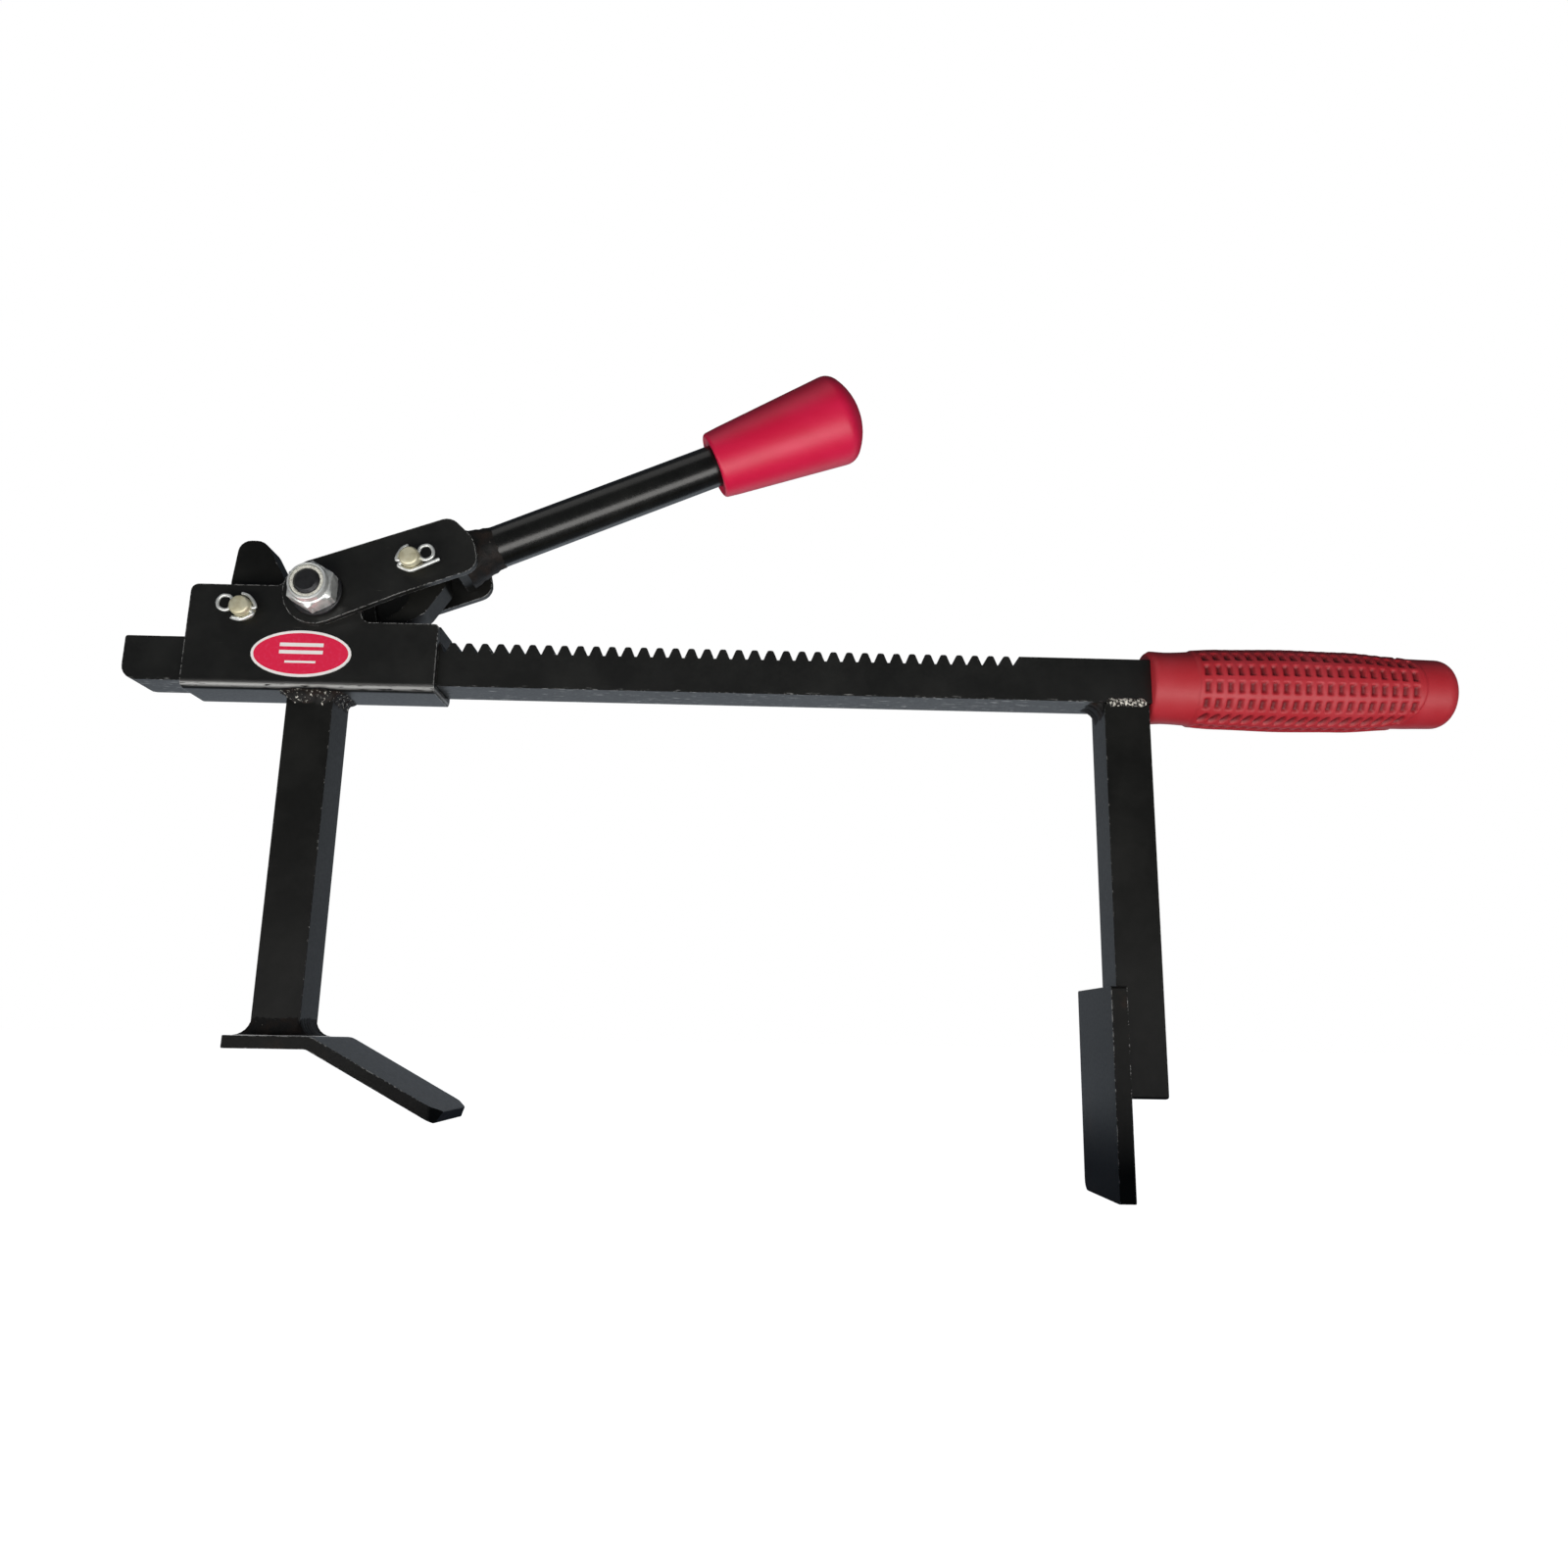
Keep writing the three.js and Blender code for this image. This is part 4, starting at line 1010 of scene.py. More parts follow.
def dress(node: str, finish: Finish, edge: float = 0.35 * MM, segments: int = 2) -> Piece:
    """Finishes a kept CAD node, and rounds its edges as sawing, shearing or casting leaves them.

    Args:
        node: The CAD node's name.
        finish: Its finish.
        edge: The edges' rounding, or 0 to leave them.
        segments: Facets across a rounded edge.

    Returns:
        The node's object.
    """
    piece = frame["nodes"][node]
    for slot in piece.material_slots:
        slot.material = finish.material()
    if edge:
        weld = piece.modifiers.new("joined", "WELD")
        weld.merge_threshold = 1e-6
        bevel = piece.modifiers.new("edges", "BEVEL")
        bevel.width = edge
        bevel.segments = segments
        bevel.limit_method = "ANGLE"
        bevel.angle_limit = math.radians(EDGE_ANGLE)
        piece.modifiers.new("even", "WEIGHTED_NORMAL")
    report(piece, "dressed")
    return piece


def joint_place(name: str) -> Vector:
    """Where a joint's axis passes, at rest."""
    found = next(joint for joint in frame["joints"] if joint["name"] == name)
    return Vector(found["pos_m"])


def middle(node: str) -> Vector:
    """The middle of a CAD node's box."""
    low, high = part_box(node)
    return (low + high) / 2


# ---------------------------------------------------------------- the fixed end


@dataclass
class Grip:
    """The rubber grip: a swelling sleeve with a raised panel of pockets on each side and dimples between.

    Distances along the grip are from its rim. The rim, neck, swell and tip are radii.
    """

    rim: float = 14.8 * MM
    neck: float = 14.5 * MM
    swell: float = 16.2 * MM
    tip: float = 14.0 * MM
    end_corner: float = 6.5 * MM  # the rounding of its closed end
    panel_start: float = 17 * MM
    panel_end: float = 109 * MM
    panel_raise: float = 0.5 * MM
    pitch: float = 4.4 * MM  # from one pocket to the next along the grip
    rows: int = 14  # rows of pockets round the grip
    pocket: tuple[float, float] = (3.1 * MM, 5.0 * MM)  # along and round the grip
    oval: tuple[float, float] = (5.4 * MM, 2.7 * MM)  # the dimples on top and underneath
    oval_turn: float = 1.0  # radians
    oval_lean: float = 0.75  # the sine of how far up or down a row faces before it has ovals
    oval_rim: float = 1.25  # where an oval's wall begins, as a share of its size
    depth: float = 1.5 * MM
    # how dark the deepest pockets are painted, as dirt and painted shade
    grime_and_shade_share: float = 0.8
    panel_slope: float = 0.8 * MM
    panel_bow: float = 15 * MM  # how much sooner the panel ends on top than on its side
    bow_turn: float = 1.45  # radians from the middle of a side to where the bow is full
    panel_margin: float = 1.4 * MM
    pocket_slope: tuple[float, float] = (1.2 * MM, 0.9 * MM)
    plain_length: float = 14 * MM  # before the mesh is fine enough for the pockets
    columns_per_pitch: int = 9
    segments_per_row: int = 13
    CAP_SHARES: ClassVar[tuple[float, ...]] = (0.7, 0.35, 0.05)

    def radius(self, along: float, length: float) -> float:
        """The sleeve's radius without its panel.

        Args:
            along: Distance from the rim.
            length: The grip's length.

        Returns:
            The radius.
        """
        knots = [(0, self.rim - 0.8 * MM), (1.2 * MM, self.rim), (7 * MM, self.neck)]
        knots += [(0.24 * length, 0.97 * self.swell), (0.44 * length, self.swell)]
        knots += [(0.64 * length, 0.975 * self.swell), (0.84 * length, 1.02 * self.tip)]
        knots += [(length - self.end_corner, self.tip)]
        if along > knots[-1][0]:
            part = min((along - knots[-1][0]) / self.end_corner, 1.0)
            return self.tip - self.end_corner * (1 - math.sqrt(max(1 - part**2, 0.0)))
        for (a, ra), (b, rb) in zip(knots, knots[1:]):
            if along <= b:
                t = (along - a) / (b - a)
                t = t * t * (3 - 2 * t)
                return ra + (rb - ra) * t
        return self.tip

    def relief(self, along: float, angle: float, radius: float) -> float:
        """How far the surface stands over the plain sleeve.

        Args:
            along: Distance from the rim.
            angle: Angle round the grip, 0 on the side with the nut, growing upwards.
            radius: The sleeve's radius there.

        Returns:
            The height, negative in a pocket.
        """
        side = math.asin(max(-1.0, min(1.0, math.sin(angle))))
        end = self.panel_end - self.panel_bow * (1 - math.sqrt(max(0.0, 1 - (side / self.bow_turn) ** 2)))
        inside = min((along - self.panel_start) / self.panel_slope, (end - along) / self.panel_slope, 1.0)
        if inside <= 0:
            return 0.0
        height = self.panel_raise * inside
        step = 2 * math.pi / self.rows
        row = math.floor(angle / step)
        level = (row + 0.5) * step
        up = (angle - level) * radius
        first = self.panel_start + self.panel_margin
        column = math.floor((along - first) / self.pitch)
        if column < 0 or first + (column + 1) * self.pitch > end:
            return height
        over = along - first - (column + 0.5) * self.pitch
        lean = abs(math.sin(level))
        if lean < self.oval_lean:
            wide, tall = self.pocket
            ahead, above = self.pocket_slope
            inset = min((wide / 2 - abs(over)) / ahead, (tall / 2 - abs(up)) / above)
        else:
            turn = self.oval_turn if math.cos(level) >= -1e-6 else -self.oval_turn
            a = over * math.cos(turn) + up * math.sin(turn)
            b = up * math.cos(turn) - over * math.sin(turn)
            reach = math.hypot(a / (self.oval[0] / 2), b / (self.oval[1] / 2))
            inset = (self.oval_rim - reach) * 2
        inset = min(max(inset, 0.0), 1.0)
        return height - self.depth * inset * inset * (3 - 2 * inset)

    def build(self) -> Piece:
        """Builds the grip over its CAD node.

        Returns:
            The piece.
        """
        low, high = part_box("bar_grip")
        length = high.x - low.x
        centre = middle("rack_bar")
        stations = [0.0, 0.5 * MM, 1.2 * MM, 2.5 * MM, 4 * MM, 7 * MM, 10 * MM, 13 * MM]
        fine = self.pitch / self.columns_per_pitch
        count = round((self.panel_end - self.plain_length) / fine)
        stations += [16 * MM + fine * k for k in range(count + 1)]
        last = length - self.end_corner
        stations += [last + self.end_corner * math.sin(math.pi / 2 * k / 10) for k in range(10)]
        segments = self.rows * self.segments_per_row
        turns = [2 * math.pi * k / segments for k in range(segments)]

        def point(x: float, turn: float, out: float) -> Vector:
            """A point of the sleeve, from its place along the bar, its turn and its radius."""
            return Vector((x, centre.y - out * math.cos(turn), centre.z + out * math.sin(turn)))

        rings = []
        for along in stations:
            base = self.radius(along, length)
            rings.append([point(low.x + along, t, base + self.relief(along, t, base)) for t in turns])
        cap = self.tip - self.end_corner
        for share in self.CAP_SHARES:
            rings.append([point(high.x, t, cap * share) for t in turns])
        sleeve = lofted("grip_sleeve", rings, sharp=70)
        self.mark_pockets(sleeve, low.x, centre, length)
        return place(sleeve, Body.FRAME, RUBBER, "bar_grip")

    def mark_pockets(self, sleeve: Piece, start: float, centre: Vector, length: float) -> None:
        """Stores how deep each point lies in a pocket, from 0 to 1, for the dirt and painted shade that the
        finish lays in the pockets.

        Args:
            sleeve: The sleeve.
            start: Where the grip begins along the bar.
            centre: The bar's middle.
            length: The grip's length.
        """
        marks = sleeve.data.attributes.new(GRIP_DEPTH, "FLOAT", "POINT")
        for vertex, mark in zip(sleeve.data.vertices, marks.data):
            along = vertex.co.x - start
            angle = math.atan2(vertex.co.z - centre.z, centre.y - vertex.co.y)
            down = -self.relief(along, angle % (2 * math.pi), self.radius(along, length))
            mark.value = self.grime_and_shade_share * max(0.0, min(1.0, down / (self.depth - self.panel_raise)))


@dataclass
class FixedEnd:
    """The toothed bar, the arm and foot plate welded under its end, and the grip on it."""

    corner_bead: Bead = Bead(5.8 * MM, 5.8 * MM, BeadForm.HOLLOW)
    seam_bead: Bead = Bead(0.9 * MM, 1.9 * MM, BeadForm.FLUSH, 1.5 * MM, 0.25)
    foot_bead: Bead = Bead(3.6 * MM, 3.6 * MM)
    inset: float = 1.2 * MM  # how far each bead stops short of its joint's ends

    def build(self) -> None:
        """Builds and dresses the fixed end."""
        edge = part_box("rack_bar")[0].z
        bar_paint = Enamel(name="satin_black_enamel_bar", bright_line_level=edge + 0.2 * MM, bright_line_share=0.22)
        dress("rack_bar", bar_paint, 0.4 * MM, 3)
        dress("fixed_arm", PAINT, 1.0 * MM, 3)
        dress("fixed_foot_plate", FOOT_PAINT, 0.5 * MM, 3)
        Grip().build()
        self.build_welds()

    def build_welds(self) -> None:
        """Builds the beads between bar, arm and foot plate."""
        arm_low, arm_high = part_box("fixed_arm")
        _, plate_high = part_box("fixed_foot_plate")
        bar_low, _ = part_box("rack_bar")
        y0, y1 = arm_low.y + self.inset, arm_high.y - self.inset
        path = straight(Vector((arm_low.x, y0, bar_low.z)), Vector((arm_low.x, y1, bar_low.z)))
        outs = [Vector((-1, 0, 0))] * len(path)
        bead = self.corner_bead.build("fixed_arm_corner_bead", path, outs, Vector((0, 0, -1)))
        place(bead, Body.FRAME, WELD, "fixed_arm_corner_weld")
        for side, y, word in ((-1, arm_low.y, "front"), (1, arm_high.y, "back")):
            out = Vector((0, side, 0))
            start = Vector((arm_low.x + self.inset, y, bar_low.z))
            path = straight(start, Vector((arm_high.x - self.inset, y, bar_low.z)))
            outs, up = [out] * len(path), Vector((0, 0, 1))
            bead = self.seam_bead.build(f"fixed_arm_seam_bead_{word}", path, outs, up)
            place(bead, Body.FRAME, BARE_WELD, f"fixed_arm_seam_weld_{word}")
            start = Vector((plate_high.x, y, arm_low.z + self.inset))
            path = straight(start, Vector((plate_high.x, y, plate_high.z - self.inset)))
            outs, up = [out] * len(path), Vector((1, 0, 0))
            bead = self.foot_bead.build(f"fixed_foot_bead_{word}", path, outs, up)
            place(bead, Body.FRAME, WELD, f"fixed_foot_weld_{word}")


# ---------------------------------------------------------------- pins and cotters


@dataclass
class PinSet:
    """A headed clevis pin with the split cotter that keeps it, laid on one pin axis."""

    word: str
    body: Body
    pin_node: str
    cotter_node: str
    lean: float  # the cotter's turn about the pin, in radians
    eye_side: float  # 1 or -1, for the side that its eye is on
    lower_tail: float  # where its lower leg ends, in mm from the pin's axis
    upper_tail: float
    radius: float = 4 * MM
    head_radius: float = 6 * MM
    head_thickness: float = 2.5 * MM
    wire: float = 0.68 * MM  # the radius of the cotter's wire
    inset: float = 3.3 * MM  # from the sheet to the cotter
    tail: float = 6.5 * MM  # from the sheet to the pin's end
    edge: float = 0.9 * MM

    def build(self) -> None:
        """Builds the pin and its cotter."""
        low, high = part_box(self.pin_node)
        centre = middle(self.pin_node)
        origin = Vector((centre.x, low.y, centre.z))
        length = high.y - low.y
        edge, head = self.edge, self.head_radius
        face = length - self.head_thickness
        profile = [(0, TIP), (0, self.radius - edge), (edge * 0.35, self.radius - edge * 0.45)]
        profile += [(edge, self.radius), (face, self.radius), (face, head - 0.4 * MM)]
        profile += [(face + 0.4 * MM, head), (length - 0.6 * MM, head)]
        profile += [(length - 0.15 * MM, head - 0.5 * MM), (length, head - 1.2 * MM), (length, TIP)]
        pin = turned(f"{self.word}_pin", profile, origin, Vector((0, 1, 0)), 64)
        place(pin, self.body, YELLOW_ZINC, self.pin_node)
        self.build_cotter(Vector((centre.x, low.y + self.tail - self.inset, centre.z)))

    def build_cotter(self, centre: Vector) -> None:
        """Builds the cotter: a round eye on one side, and two legs folded back round the pin.

        Args:
            centre: Where the cotter crosses the pin's axis.
        """
        along = Vector((math.cos(self.lean), 0, math.sin(self.lean))) * self.eye_side
        up = Vector((-math.sin(self.lean), 0, math.cos(self.lean)))
        out = Vector((0, -1, 0))
        r, w = self.radius / MM, self.wire / MM
        wrap = r + w + 0.25
        # Each point is along the eye's way, up across it and out along the pin, in mm.
        lower = [(self.lower_tail, -wrap + 0.2, 0.9), (2.0, -wrap - 0.25, 0.5), (-1.5, -wrap, 0.2)]
        lower += [(-wrap + 0.6, -2.6, 0), (-wrap - 0.3, -1.2, 0)]
        lower += [(-r + 0.6, -w - 0.05, 0), (r - 1, -w - 0.05, 0)]
        eye = [(r - 0.3, -1.4, 0.1), (r + 1.6, -2.95, 0.2), (r + 4.4, -2.4, 0.3), (r + 5.4, 0.0, 0.35)]
        eye += [(r + 4.4, 2.4, 0.3), (r + 1.6, 2.95, 0.2), (r - 0.3, 1.4, 0.1)]
        upper = [(r - 1, w + 0.05, 0), (-r + 0.6, w + 0.05, 0), (-wrap - 0.3, 1.2, 0), (-wrap + 0.6, 2.8, 0)]
        upper += [(-1.6, wrap, 0.2), (self.upper_tail, wrap + 0.3, 0.5)]
        points = [centre + (along * a + up * b + out * c) * MM for a, b, c in lower + eye + upper]
        cotter = wire_piece(f"{self.word}_cotter", points, self.wire)
        place(cotter, self.body, ZINC, self.cotter_node)


# ---------------------------------------------------------------- the pivot bolt


@dataclass
class PivotBolt:
    """The bolt, washers and lock nut that the lever turns on. The bolt, washer, collar and seat are radii."""

    flats: float = 17 * MM  # across the flats of the nut and the head
    bolt: float = 5 * MM
    washer: float = 10 * MM
    chamfer: float = 0.9 * MM
    thread_pitch: float = 1.5 * MM
    thread_depth: float = 0.55 * MM
    threads: int = 9
    thread_end: float = 14.5 * MM
    head: float = 6.4 * MM
    collar: float = 7.7 * MM
    collar_depth: float = 3.0 * MM
    seat: float = 6.6 * MM  # where the nylon ring sits
    seat_depth: float = 2.4 * MM

    def hexagon(self, angle: float, along: float, radius: float) -> float:
        """The radius of a hexagon with level flats, no more than the profile's own radius."""
        turn = (angle + math.pi / 6) % (math.pi / 3) - math.pi / 6
        return min(radius, self.flats / 2 / math.cos(turn))

    def build(self) -> None:
        """Builds the nut, its ring, the bolt and the washers."""
        out = Vector((0, 1, 0))
        low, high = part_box("pivot_nut")
        centre = middle("pivot_nut")
        corner = self.flats / math.sqrt(3)
        collar, depth, hexagon = self.collar, high.y - low.y, self.collar_depth
        inner, seat = self.bolt + 0.1 * MM, self.seat
        profile = [(0.0, seat), (0.0, collar - 0.9 * MM), (0.25 * MM, collar - 0.3 * MM), (0.9 * MM, collar)]
        profile += [(hexagon - 0.3 * MM, collar + 0.1 * MM), (hexagon, corner - 1.5 * MM)]
        profile += [(hexagon + self.chamfer, corner), (depth - 0.4 * MM, corner), (depth, corner - 0.9 * MM)]
        profile += [(depth, inner), (self.seat_depth, inner), (self.seat_depth, seat)]
        nut = turned_ring("lock_nut", profile, Vector((centre.x, low.y, centre.z)), out, 96, self.hexagon)
        place(nut, Body.CARRIAGE, ZINC, "pivot_nut")
        low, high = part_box("pivot_nut_nylon_ring")
        profile = ring_profile(inner, seat - 0.1 * MM, 0.15 * MM, high.y - low.y, 0.35 * MM)
        ring = turned_ring("nut_nylon_ring", profile, Vector((centre.x, low.y, centre.z)), out, 72)
        place(ring, Body.CARRIAGE, NYLON, "pivot_nut_nylon_ring")
        self.build_bolt(centre)
        for node in ("pivot_washer_front", "pivot_washer_back"):
            low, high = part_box(node)
            profile = ring_profile(inner, self.washer, 0, high.y - low.y, 0.3 * MM)
            origin = Vector((centre.x, low.y, centre.z))
            washer = turned_ring(node.replace("pivot_", ""), profile, origin, out, 96)
            place(washer, Body.CARRIAGE, BLACK_OXIDE, node)

    def build_bolt(self, centre: Vector) -> None:
        """Builds the bolt: a threaded end, a plain shank and a hexagon head.

        Args:
            centre: The middle of the nut.
        """
        low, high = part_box("pivot_bolt")
        head = self.head
        length = high.y - low.y
        corner = self.flats / math.sqrt(3)
        core = self.bolt - self.thread_depth
        profile = [(0, TIP), (0, core - 0.5 * MM), (0.5 * MM, core)]
        for turn in range(self.threads):
            start = 0.5 * MM + turn * self.thread_pitch
            profile += [(start + 0.55 * MM, self.bolt), (start + 0.8 * MM, self.bolt)]
            profile += [(start + 1.4 * MM, core)]
        profile += [(self.thread_end, self.bolt), (length - head, self.bolt)]
        profile += [(length - head, corner - 0.6 * MM)]
        profile += [(length - head + 0.3 * MM, corner), (length - self.chamfer, corner)]
        profile += [(length, corner - 1.6 * MM), (length, TIP)]

        def shape(angle: float, along: float, radius: float) -> float:
            """The hexagon on the head, and round elsewhere."""
            return self.hexagon(angle, along, radius) if along > length - head - 1e-6 else radius

        origin = Vector((centre.x, low.y, centre.z))
        bolt = turned("pivot_bolt_body", profile, origin, Vector((0, 1, 0)), 96, shape)
        place(bolt, Body.CARRIAGE, BLACK_OXIDE, "pivot_bolt")


# ---------------------------------------------------------------- the carriage


@dataclass
class Carriage:
    """The folded channel with its bridge, arm, foot, welds and label, and the bush and spacer in it."""

    arm_bead: Bead = Bead(4.0 * MM, 4.6 * MM, BeadForm.HOLLOW, 2.4 * MM, 0.3)
    foot_bead: Bead = Bead(6.0 * MM, 6.5 * MM, BeadForm.HOLLOW, 2.4 * MM, 0.08)

    def build(self) -> None:
        """Builds and dresses the carriage."""
        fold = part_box("housing_channel")[0].z
        # The bright line part way up the channel's rounded fold is a painted highlight, laid in the
        # bare-steel colour.
        rubbed = Enamel(
            name="satin_black_enamel_channel",
            edge_wear=0.75,
            scratches=0.9,
            bright_line_level=fold + 1.3 * MM,
            bright_line_share=0.95,
        )
        dress("housing_channel", rubbed, 0.5 * MM, 3)
        dress("guide_bridge", PAINT, 0.4 * MM)
        dress("sliding_arm", PAINT, 1.0 * MM, 3)
        dress("sliding_foot", FOOT_PAINT, 0.5 * MM, 3)
        centre = middle("label")
        low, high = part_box("label")
        film = LabelFilm(
            middle=(centre.x, centre.z), half_length=(high.x - low.x) / 2, half_height=(high.z - low.z) / 2
        )
        dress("label", film, 0)
        for node in ("pivot_bush", "holding_pawl_spacer"):
            dress(node, BLACK_OXIDE, 0.3 * MM)
        dress("holding_pawl_spring", ZINC, 0)
        arm_low, arm_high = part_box("sliding_arm")
        half = (arm_high.x - arm_low.x) / 2
        for word, level, up, bead, metal in (
            ("sliding_arm", arm_high.z, -1, self.arm_bead, SPATTERED_WELD),
            ("sliding_foot", arm_low.z, 1, self.foot_bead, WELD),
        ):
            centre = Vector(((arm_low.x + arm_high.x) / 2, (arm_low.y + arm_high.y) / 2, level))
            path, outs = round_square(centre, half, 1.0 * MM)
            made = bead.build(f"{word}_bead", path, outs, Vector((0, 0, up)), closed=True)
            place(made, Body.CARRIAGE, metal, f"{word}_weld")
        lean = math.radians(-14)
        pin = PinSet("holding", Body.CARRIAGE, "holding_pawl_pin", "holding_pawl_cotter", lean, -1, -1.5, 1.5)
        pin.build()
        PivotBolt().build()


# ---------------------------------------------------------------- the lever and pawls


@dataclass
class Lever:
    """The fork plates, web, rod and knob, and the drive pawl's pin.

    The starts and ends are distances along the rod's axis from the pivot.
    """

    rod_radius: float = 8.6 * MM
    weld_start: float = 56.3 * MM
    weld_length: float = 15 * MM
    knob_start: float = 167 * MM
    knob_end: float = 233 * MM
    knob_small: float = 13.8 * MM
    knob_large: float = 19.2 * MM
    cap_radius: float = 26 * MM
    bore_depth: float = 2.5 * MM
    rod_drop: float = 1.5 * MM  # how far the rod's axis passes from the pivot
    rod_edge: float = 0.8 * MM
    rod_in_knob: float = 20 * MM
    weld_radius: float = 12.2 * MM
    knob_lip: float = 1.5 * MM
    knob_rim: float = 3.2 * MM
    knob_turn_in: float = 2.4 * MM
    CAP_SHARES: ClassVar[tuple[float, ...]] = (1.0, 0.93, 0.84, 0.74, 0.62, 0.48, 0.32, 0.16, 0.01)

    def build(self) -> None:
        """Builds and dresses the lever."""
        pivot = joint_place("lever_hinge")
        way = middle("lever_rod") - pivot
        turn = math.atan2(way.z, way.x) + math.asin(self.rod_drop / way.length)
        self.axis = Vector((math.cos(turn), 0, math.sin(turn)))
        self.start = pivot - Vector((-math.sin(turn), 0, math.cos(turn))) * self.rod_drop
        for node in ("lever_plate_front", "lever_plate_back"):
            dress(node, SHEET_PAINT, 0.45 * MM, 3)
        dress("lever_web", PAINT, 0.5 * MM)
        for node in ("drive_pawl_spacer_front", "drive_pawl_spacer_back"):
            dress(node, BLACK_OXIDE, 0.3 * MM)
        dress("drive_pawl_spring", ZINC, 0)
        self.build_rod()
        self.build_knob()
        lean = math.atan2(self.axis.z, self.axis.x)
        lean -= math.radians(2)
        pin = PinSet("drive", Body.LEVER, "drive_pawl_pin", "drive_pawl_cotter", lean, 1, 10.8, 1.0)
        pin.build()

    def build_rod(self) -> None:
        """Builds the rod and the weld round its root."""
        end = self.knob_start + self.rod_in_knob
        start = self.weld_start
        edge = self.rod_edge
        profile = [(start, TIP), (start, self.rod_radius - edge), (start + edge, self.rod_radius)]
        profile += [(start + (end - start) * k / 12, self.rod_radius) for k in range(1, 12)]
        profile += [(end, self.rod_radius), (end, TIP)]
        rod = turned("lever_rod_bar", profile, self.start, self.axis, 96)
        place(rod, Body.LEVER, ROD_PAINT, "lever_rod")

        def lumpy(angle: float, along: float, radius: float) -> float:
            """Weld metal's uneven surface, with lumps about 3 mm apart and ripples about 2.4 mm apart."""
            way = Vector((math.cos(angle) * 3, math.sin(angle) * 3, along / MM * 0.35))
            return radius * (1 + 0.05 * noise.noise(way) + 0.02 * math.sin(along / MM * 2.6 + angle))

        steps = [k / 10 for k in range(11)]
        wide, narrow = self.weld_radius, self.rod_radius + 0.1 * MM
        profile = [(start, TIP)]
        profile += [(start + self.weld_length * t, narrow + (wide - narrow) * (1 - t) ** 1.3) for t in steps]
        profile += [(start + self.weld_length, TIP)]
        weld = turned("lever_rod_bead", profile, self.start, self.axis, 64, lumpy, sharp=60)
        place(weld, Body.LEVER, WELD, "lever_rod_weld")

    def build_knob(self) -> None:
        """Builds the knob: a straight taper with a rounded rim at its mouth and a domed end."""
        side_end = self.cap_at(self.knob_large)
        lip, rim = self.knob_lip, self.knob_rim
        slope = (self.knob_large - self.knob_small) / side_end
        profile = [(self.bore_depth, self.rod_radius + 0.15 * MM), (1.0 * MM, self.rod_radius + 0.25 * MM)]
        profile += [(0.45 * MM, self.rod_radius + 0.8 * MM), (0.5 * MM, self.knob_small - lip - 0.7 * MM)]
        turns = [math.pi / 2 * k / 6 for k in range(7)]
        small = self.knob_small
        profile += [(lip * (1 - math.sin(t)), small + lip * (math.cos(t) - 1)) for t in reversed(turns)]
        side = [lip + (side_end - rim - lip) * k / 10 for k in range(1, 11)]
        profile += [(along, self.knob_small + slope * along) for along in side]
        turned_in = self.knob_large - self.knob_turn_in
        ends = ((side[-1], self.knob_small + slope * side[-1]), (side_end, self.knob_large))
        ends += ((self.cap_at(turned_in), turned_in),)
        for t in (0.2, 0.4, 0.6, 0.8):
            shares = ((1 - t) ** 2, 2 * t * (1 - t), t * t)
            mixed = (sum(share * end[axis] for share, end in zip(shares, ends)) for axis in (0, 1))
            profile.append(tuple(mixed))
        profile += [(self.cap_at(turned_in * share), turned_in * share) for share in self.CAP_SHARES]
        shifted = [(along + self.knob_start, radius) for along, radius in profile]
        knob = turned("lever_knob_body", shifted, self.start, self.axis, 96, sharp=50)
        place(knob, Body.LEVER, KNOB, "lever_knob")

    def cap_at(self, radius: float) -> float:
        """Where the knob's domed end has a radius, from the knob's mouth."""
        return self.knob_end - self.knob_start - self.cap_radius + math.sqrt(self.cap_radius**2 - radius**2)


@dataclass
class Pawls:
    """The two pawls, cut from plate."""

    edge: float = 0.5 * MM

    def build(self) -> None:
        """Dresses the pawls."""
        dress("holding_pawl", PAINT, self.edge, 3)
        dress("drive_pawl", PAINT, self.edge, 3)


# ---------------------------------------------------------------- the studio


@dataclass(frozen=True)
class SoftBox:
    """A soft light: where it stands and points, its size in metres, its power in watts and its colour."""

    name: str
    spot: Triple
    target: Triple
    size: tuple[float, float]
    power: float
    colour: Triple


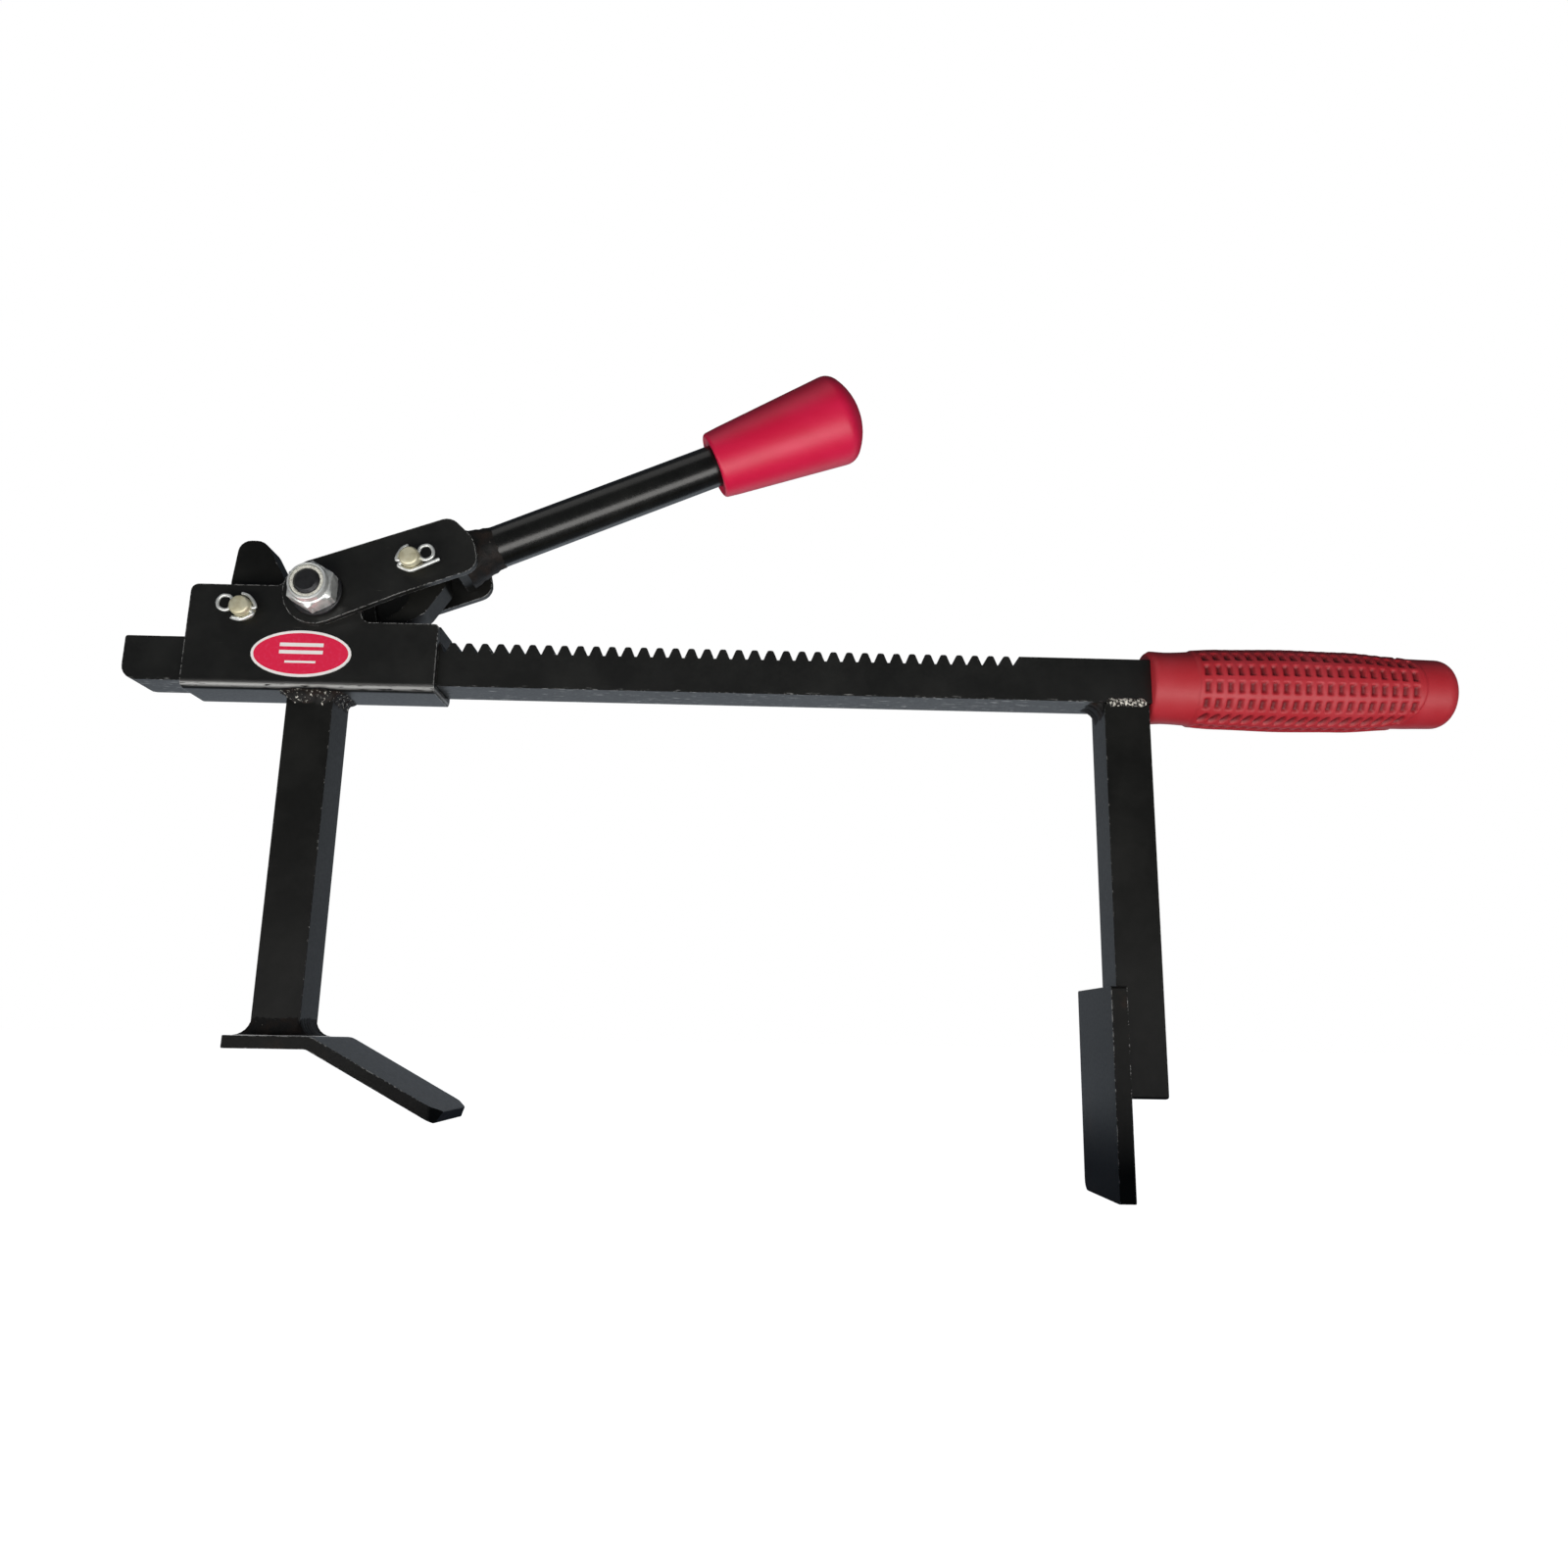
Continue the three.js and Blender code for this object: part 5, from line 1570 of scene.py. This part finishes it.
@dataclass
class Studio:
    """A pale floor, soft lights and the camera. Places and sizes are in metres."""

    NEAR: ClassVar[float] = 0.01  # how near the camera still sees
    camera_place: Triple = (-0.0142, -0.4529, 0.0539)
    yaw: float = 1.20  # degrees, as are pitch and roll
    pitch: float = 12.38
    roll: float = 1.01
    lens: float = 27.0  # in mm, as is the sensor
    sensor: float = 36.0
    floor_half: float = 40.0
    floor_colour: int = 0xF3F3F1
    floor_glow: float = 0.97  # how much the floor glows to the camera
    floor_felt: int = 0xB0BACC  # the floor's colour in the light that the tool gets from it
    sky: float = 0.075
    sky_colour: tuple[float, float, float, float] = (0.72, 0.84, 1, 1)
    LIGHTS: ClassVar[tuple[SoftBox, ...]] = (
        SoftBox("key_box", (-0.5, -0.75, 1.5), (0.0, 0.0, 0.17), (1.3, 0.8), 2.4, (1.0, 0.98, 0.95)),
        SoftBox("front_box", (0.05, -0.32, 0.01), (0.05, -0.32, 1.0), (1.2, 0.3), 5.0, (1.0, 0.98, 0.95)),
        SoftBox("back_box", (0.05, 0.7, 0.01), (0.05, 0.7, 1.0), (1.6, 0.7), 3.4, (0.85, 0.93, 1.0)),
        SoftBox("rear_box", (-0.1, 1.0, 0.3), (0.0, 0.0, 0.17), (1.2, 0.5), 0.8, (0.85, 0.92, 1.0)),
    )

    def build(self) -> None:
        """Builds the floor, world, lights and camera."""
        self.build_floor()
        self.build_world()
        self.build_lights()
        self.build_camera()

    def build_floor(self) -> None:
        """A pale matt floor, which the camera sees as nearly white and the tool feels as a cool grey."""
        half = self.floor_half
        corners = [Vector((x, y, 0)) for x, y in ((-half, -half), (half, -half), (half, half), (-half, half))]
        floor = mesh_piece("studio_floor", corners, [(0, 1, 2, 3)])
        material = bpy.data.materials.new("matt_pale_floor")
        material.use_nodes = True
        tree = material.node_tree
        tree.nodes.clear()
        path = add(tree, "ShaderNodeLightPath")
        pale = add(tree, "ShaderNodeBsdfDiffuse", {"Color": linear(self.floor_colour)})
        glow = add(tree, "ShaderNodeEmission", {"Color": (1, 1, 1, 1), "Strength": self.floor_glow})
        seen = add(tree, "ShaderNodeAddShader", {0: pale.outputs[0], 1: glow.outputs[0]})
        felt = add(tree, "ShaderNodeBsdfDiffuse", {"Color": linear(self.floor_felt)})
        sides = {0: path.outputs["Is Camera Ray"], 1: felt.outputs[0], 2: seen.outputs[0]}
        mix = add(tree, "ShaderNodeMixShader", sides)
        add(tree, "ShaderNodeOutputMaterial", {"Surface": mix.outputs[0]})
        floor.data.materials.append(material)

    def build_world(self) -> None:
        """Soft light from all round, seen as white."""
        world = bpy.data.worlds.new("studio")
        bpy.context.scene.world = world
        world.use_nodes = True
        tree = world.node_tree
        tree.nodes.clear()
        path = add(tree, "ShaderNodeLightPath")
        seen = add(tree, "ShaderNodeBackground", {"Color": (1, 1, 1, 1), "Strength": 1.0})
        felt = add(tree, "ShaderNodeBackground", {"Color": self.sky_colour, "Strength": self.sky})
        sides = {0: path.outputs["Is Camera Ray"], 1: felt.outputs[0], 2: seen.outputs[0]}
        mix = add(tree, "ShaderNodeMixShader", sides)
        add(tree, "ShaderNodeOutputWorld", {"Surface": mix.outputs[0]})

    def build_lights(self) -> None:
        """Soft boxes: one over the tool, two on the floor that light its undersides, and one behind."""
        for box in self.LIGHTS:
            data = bpy.data.lights.new(box.name, "AREA")
            data.shape = "RECTANGLE"
            data.size, data.size_y = box.size
            data.energy = box.power
            data.color = box.colour
            lamp = bpy.data.objects.new(box.name, data)
            bpy.context.scene.collection.objects.link(lamp)
            lamp.location = box.spot
            way = Vector(box.target) - Vector(box.spot)
            lamp.rotation_euler = way.to_track_quat("-Z", "Y").to_euler()
            lamp.visible_camera = False

    def build_camera(self) -> None:
        """The camera, a little below the bar and looking up."""
        yaw, pitch, roll = (math.radians(a) for a in (self.yaw, self.pitch, self.roll))
        forward = Vector((math.sin(yaw) * math.cos(pitch), math.cos(yaw) * math.cos(pitch), math.sin(pitch)))
        level = Vector((math.cos(yaw), -math.sin(yaw), 0))
        top = level.cross(forward)
        right = level * math.cos(roll) + top * math.sin(roll)
        up = top * math.cos(roll) - level * math.sin(roll)
        data = bpy.data.cameras.new("camera")
        data.lens = self.lens
        data.sensor_width = self.sensor
        data.clip_start = self.NEAR
        camera = bpy.data.objects.new("camera", data)
        bpy.context.scene.collection.objects.link(camera)
        turn = Matrix((right, up, -forward)).transposed()
        camera.matrix_world = Matrix.Translation(self.camera_place) @ turn.to_4x4()
        bpy.context.scene.camera = camera
        bpy.context.scene.view_settings.view_transform = "Standard"


def main() -> None:
    """Builds the tool and the studio in order."""
    logging.basicConfig(level=logging.INFO, format="%(name)s %(message)s")
    for part in (Studio(), FixedEnd(), Carriage(), Lever(), Pawls()):
        part.build()


if __name__ == "__main__":
    main()
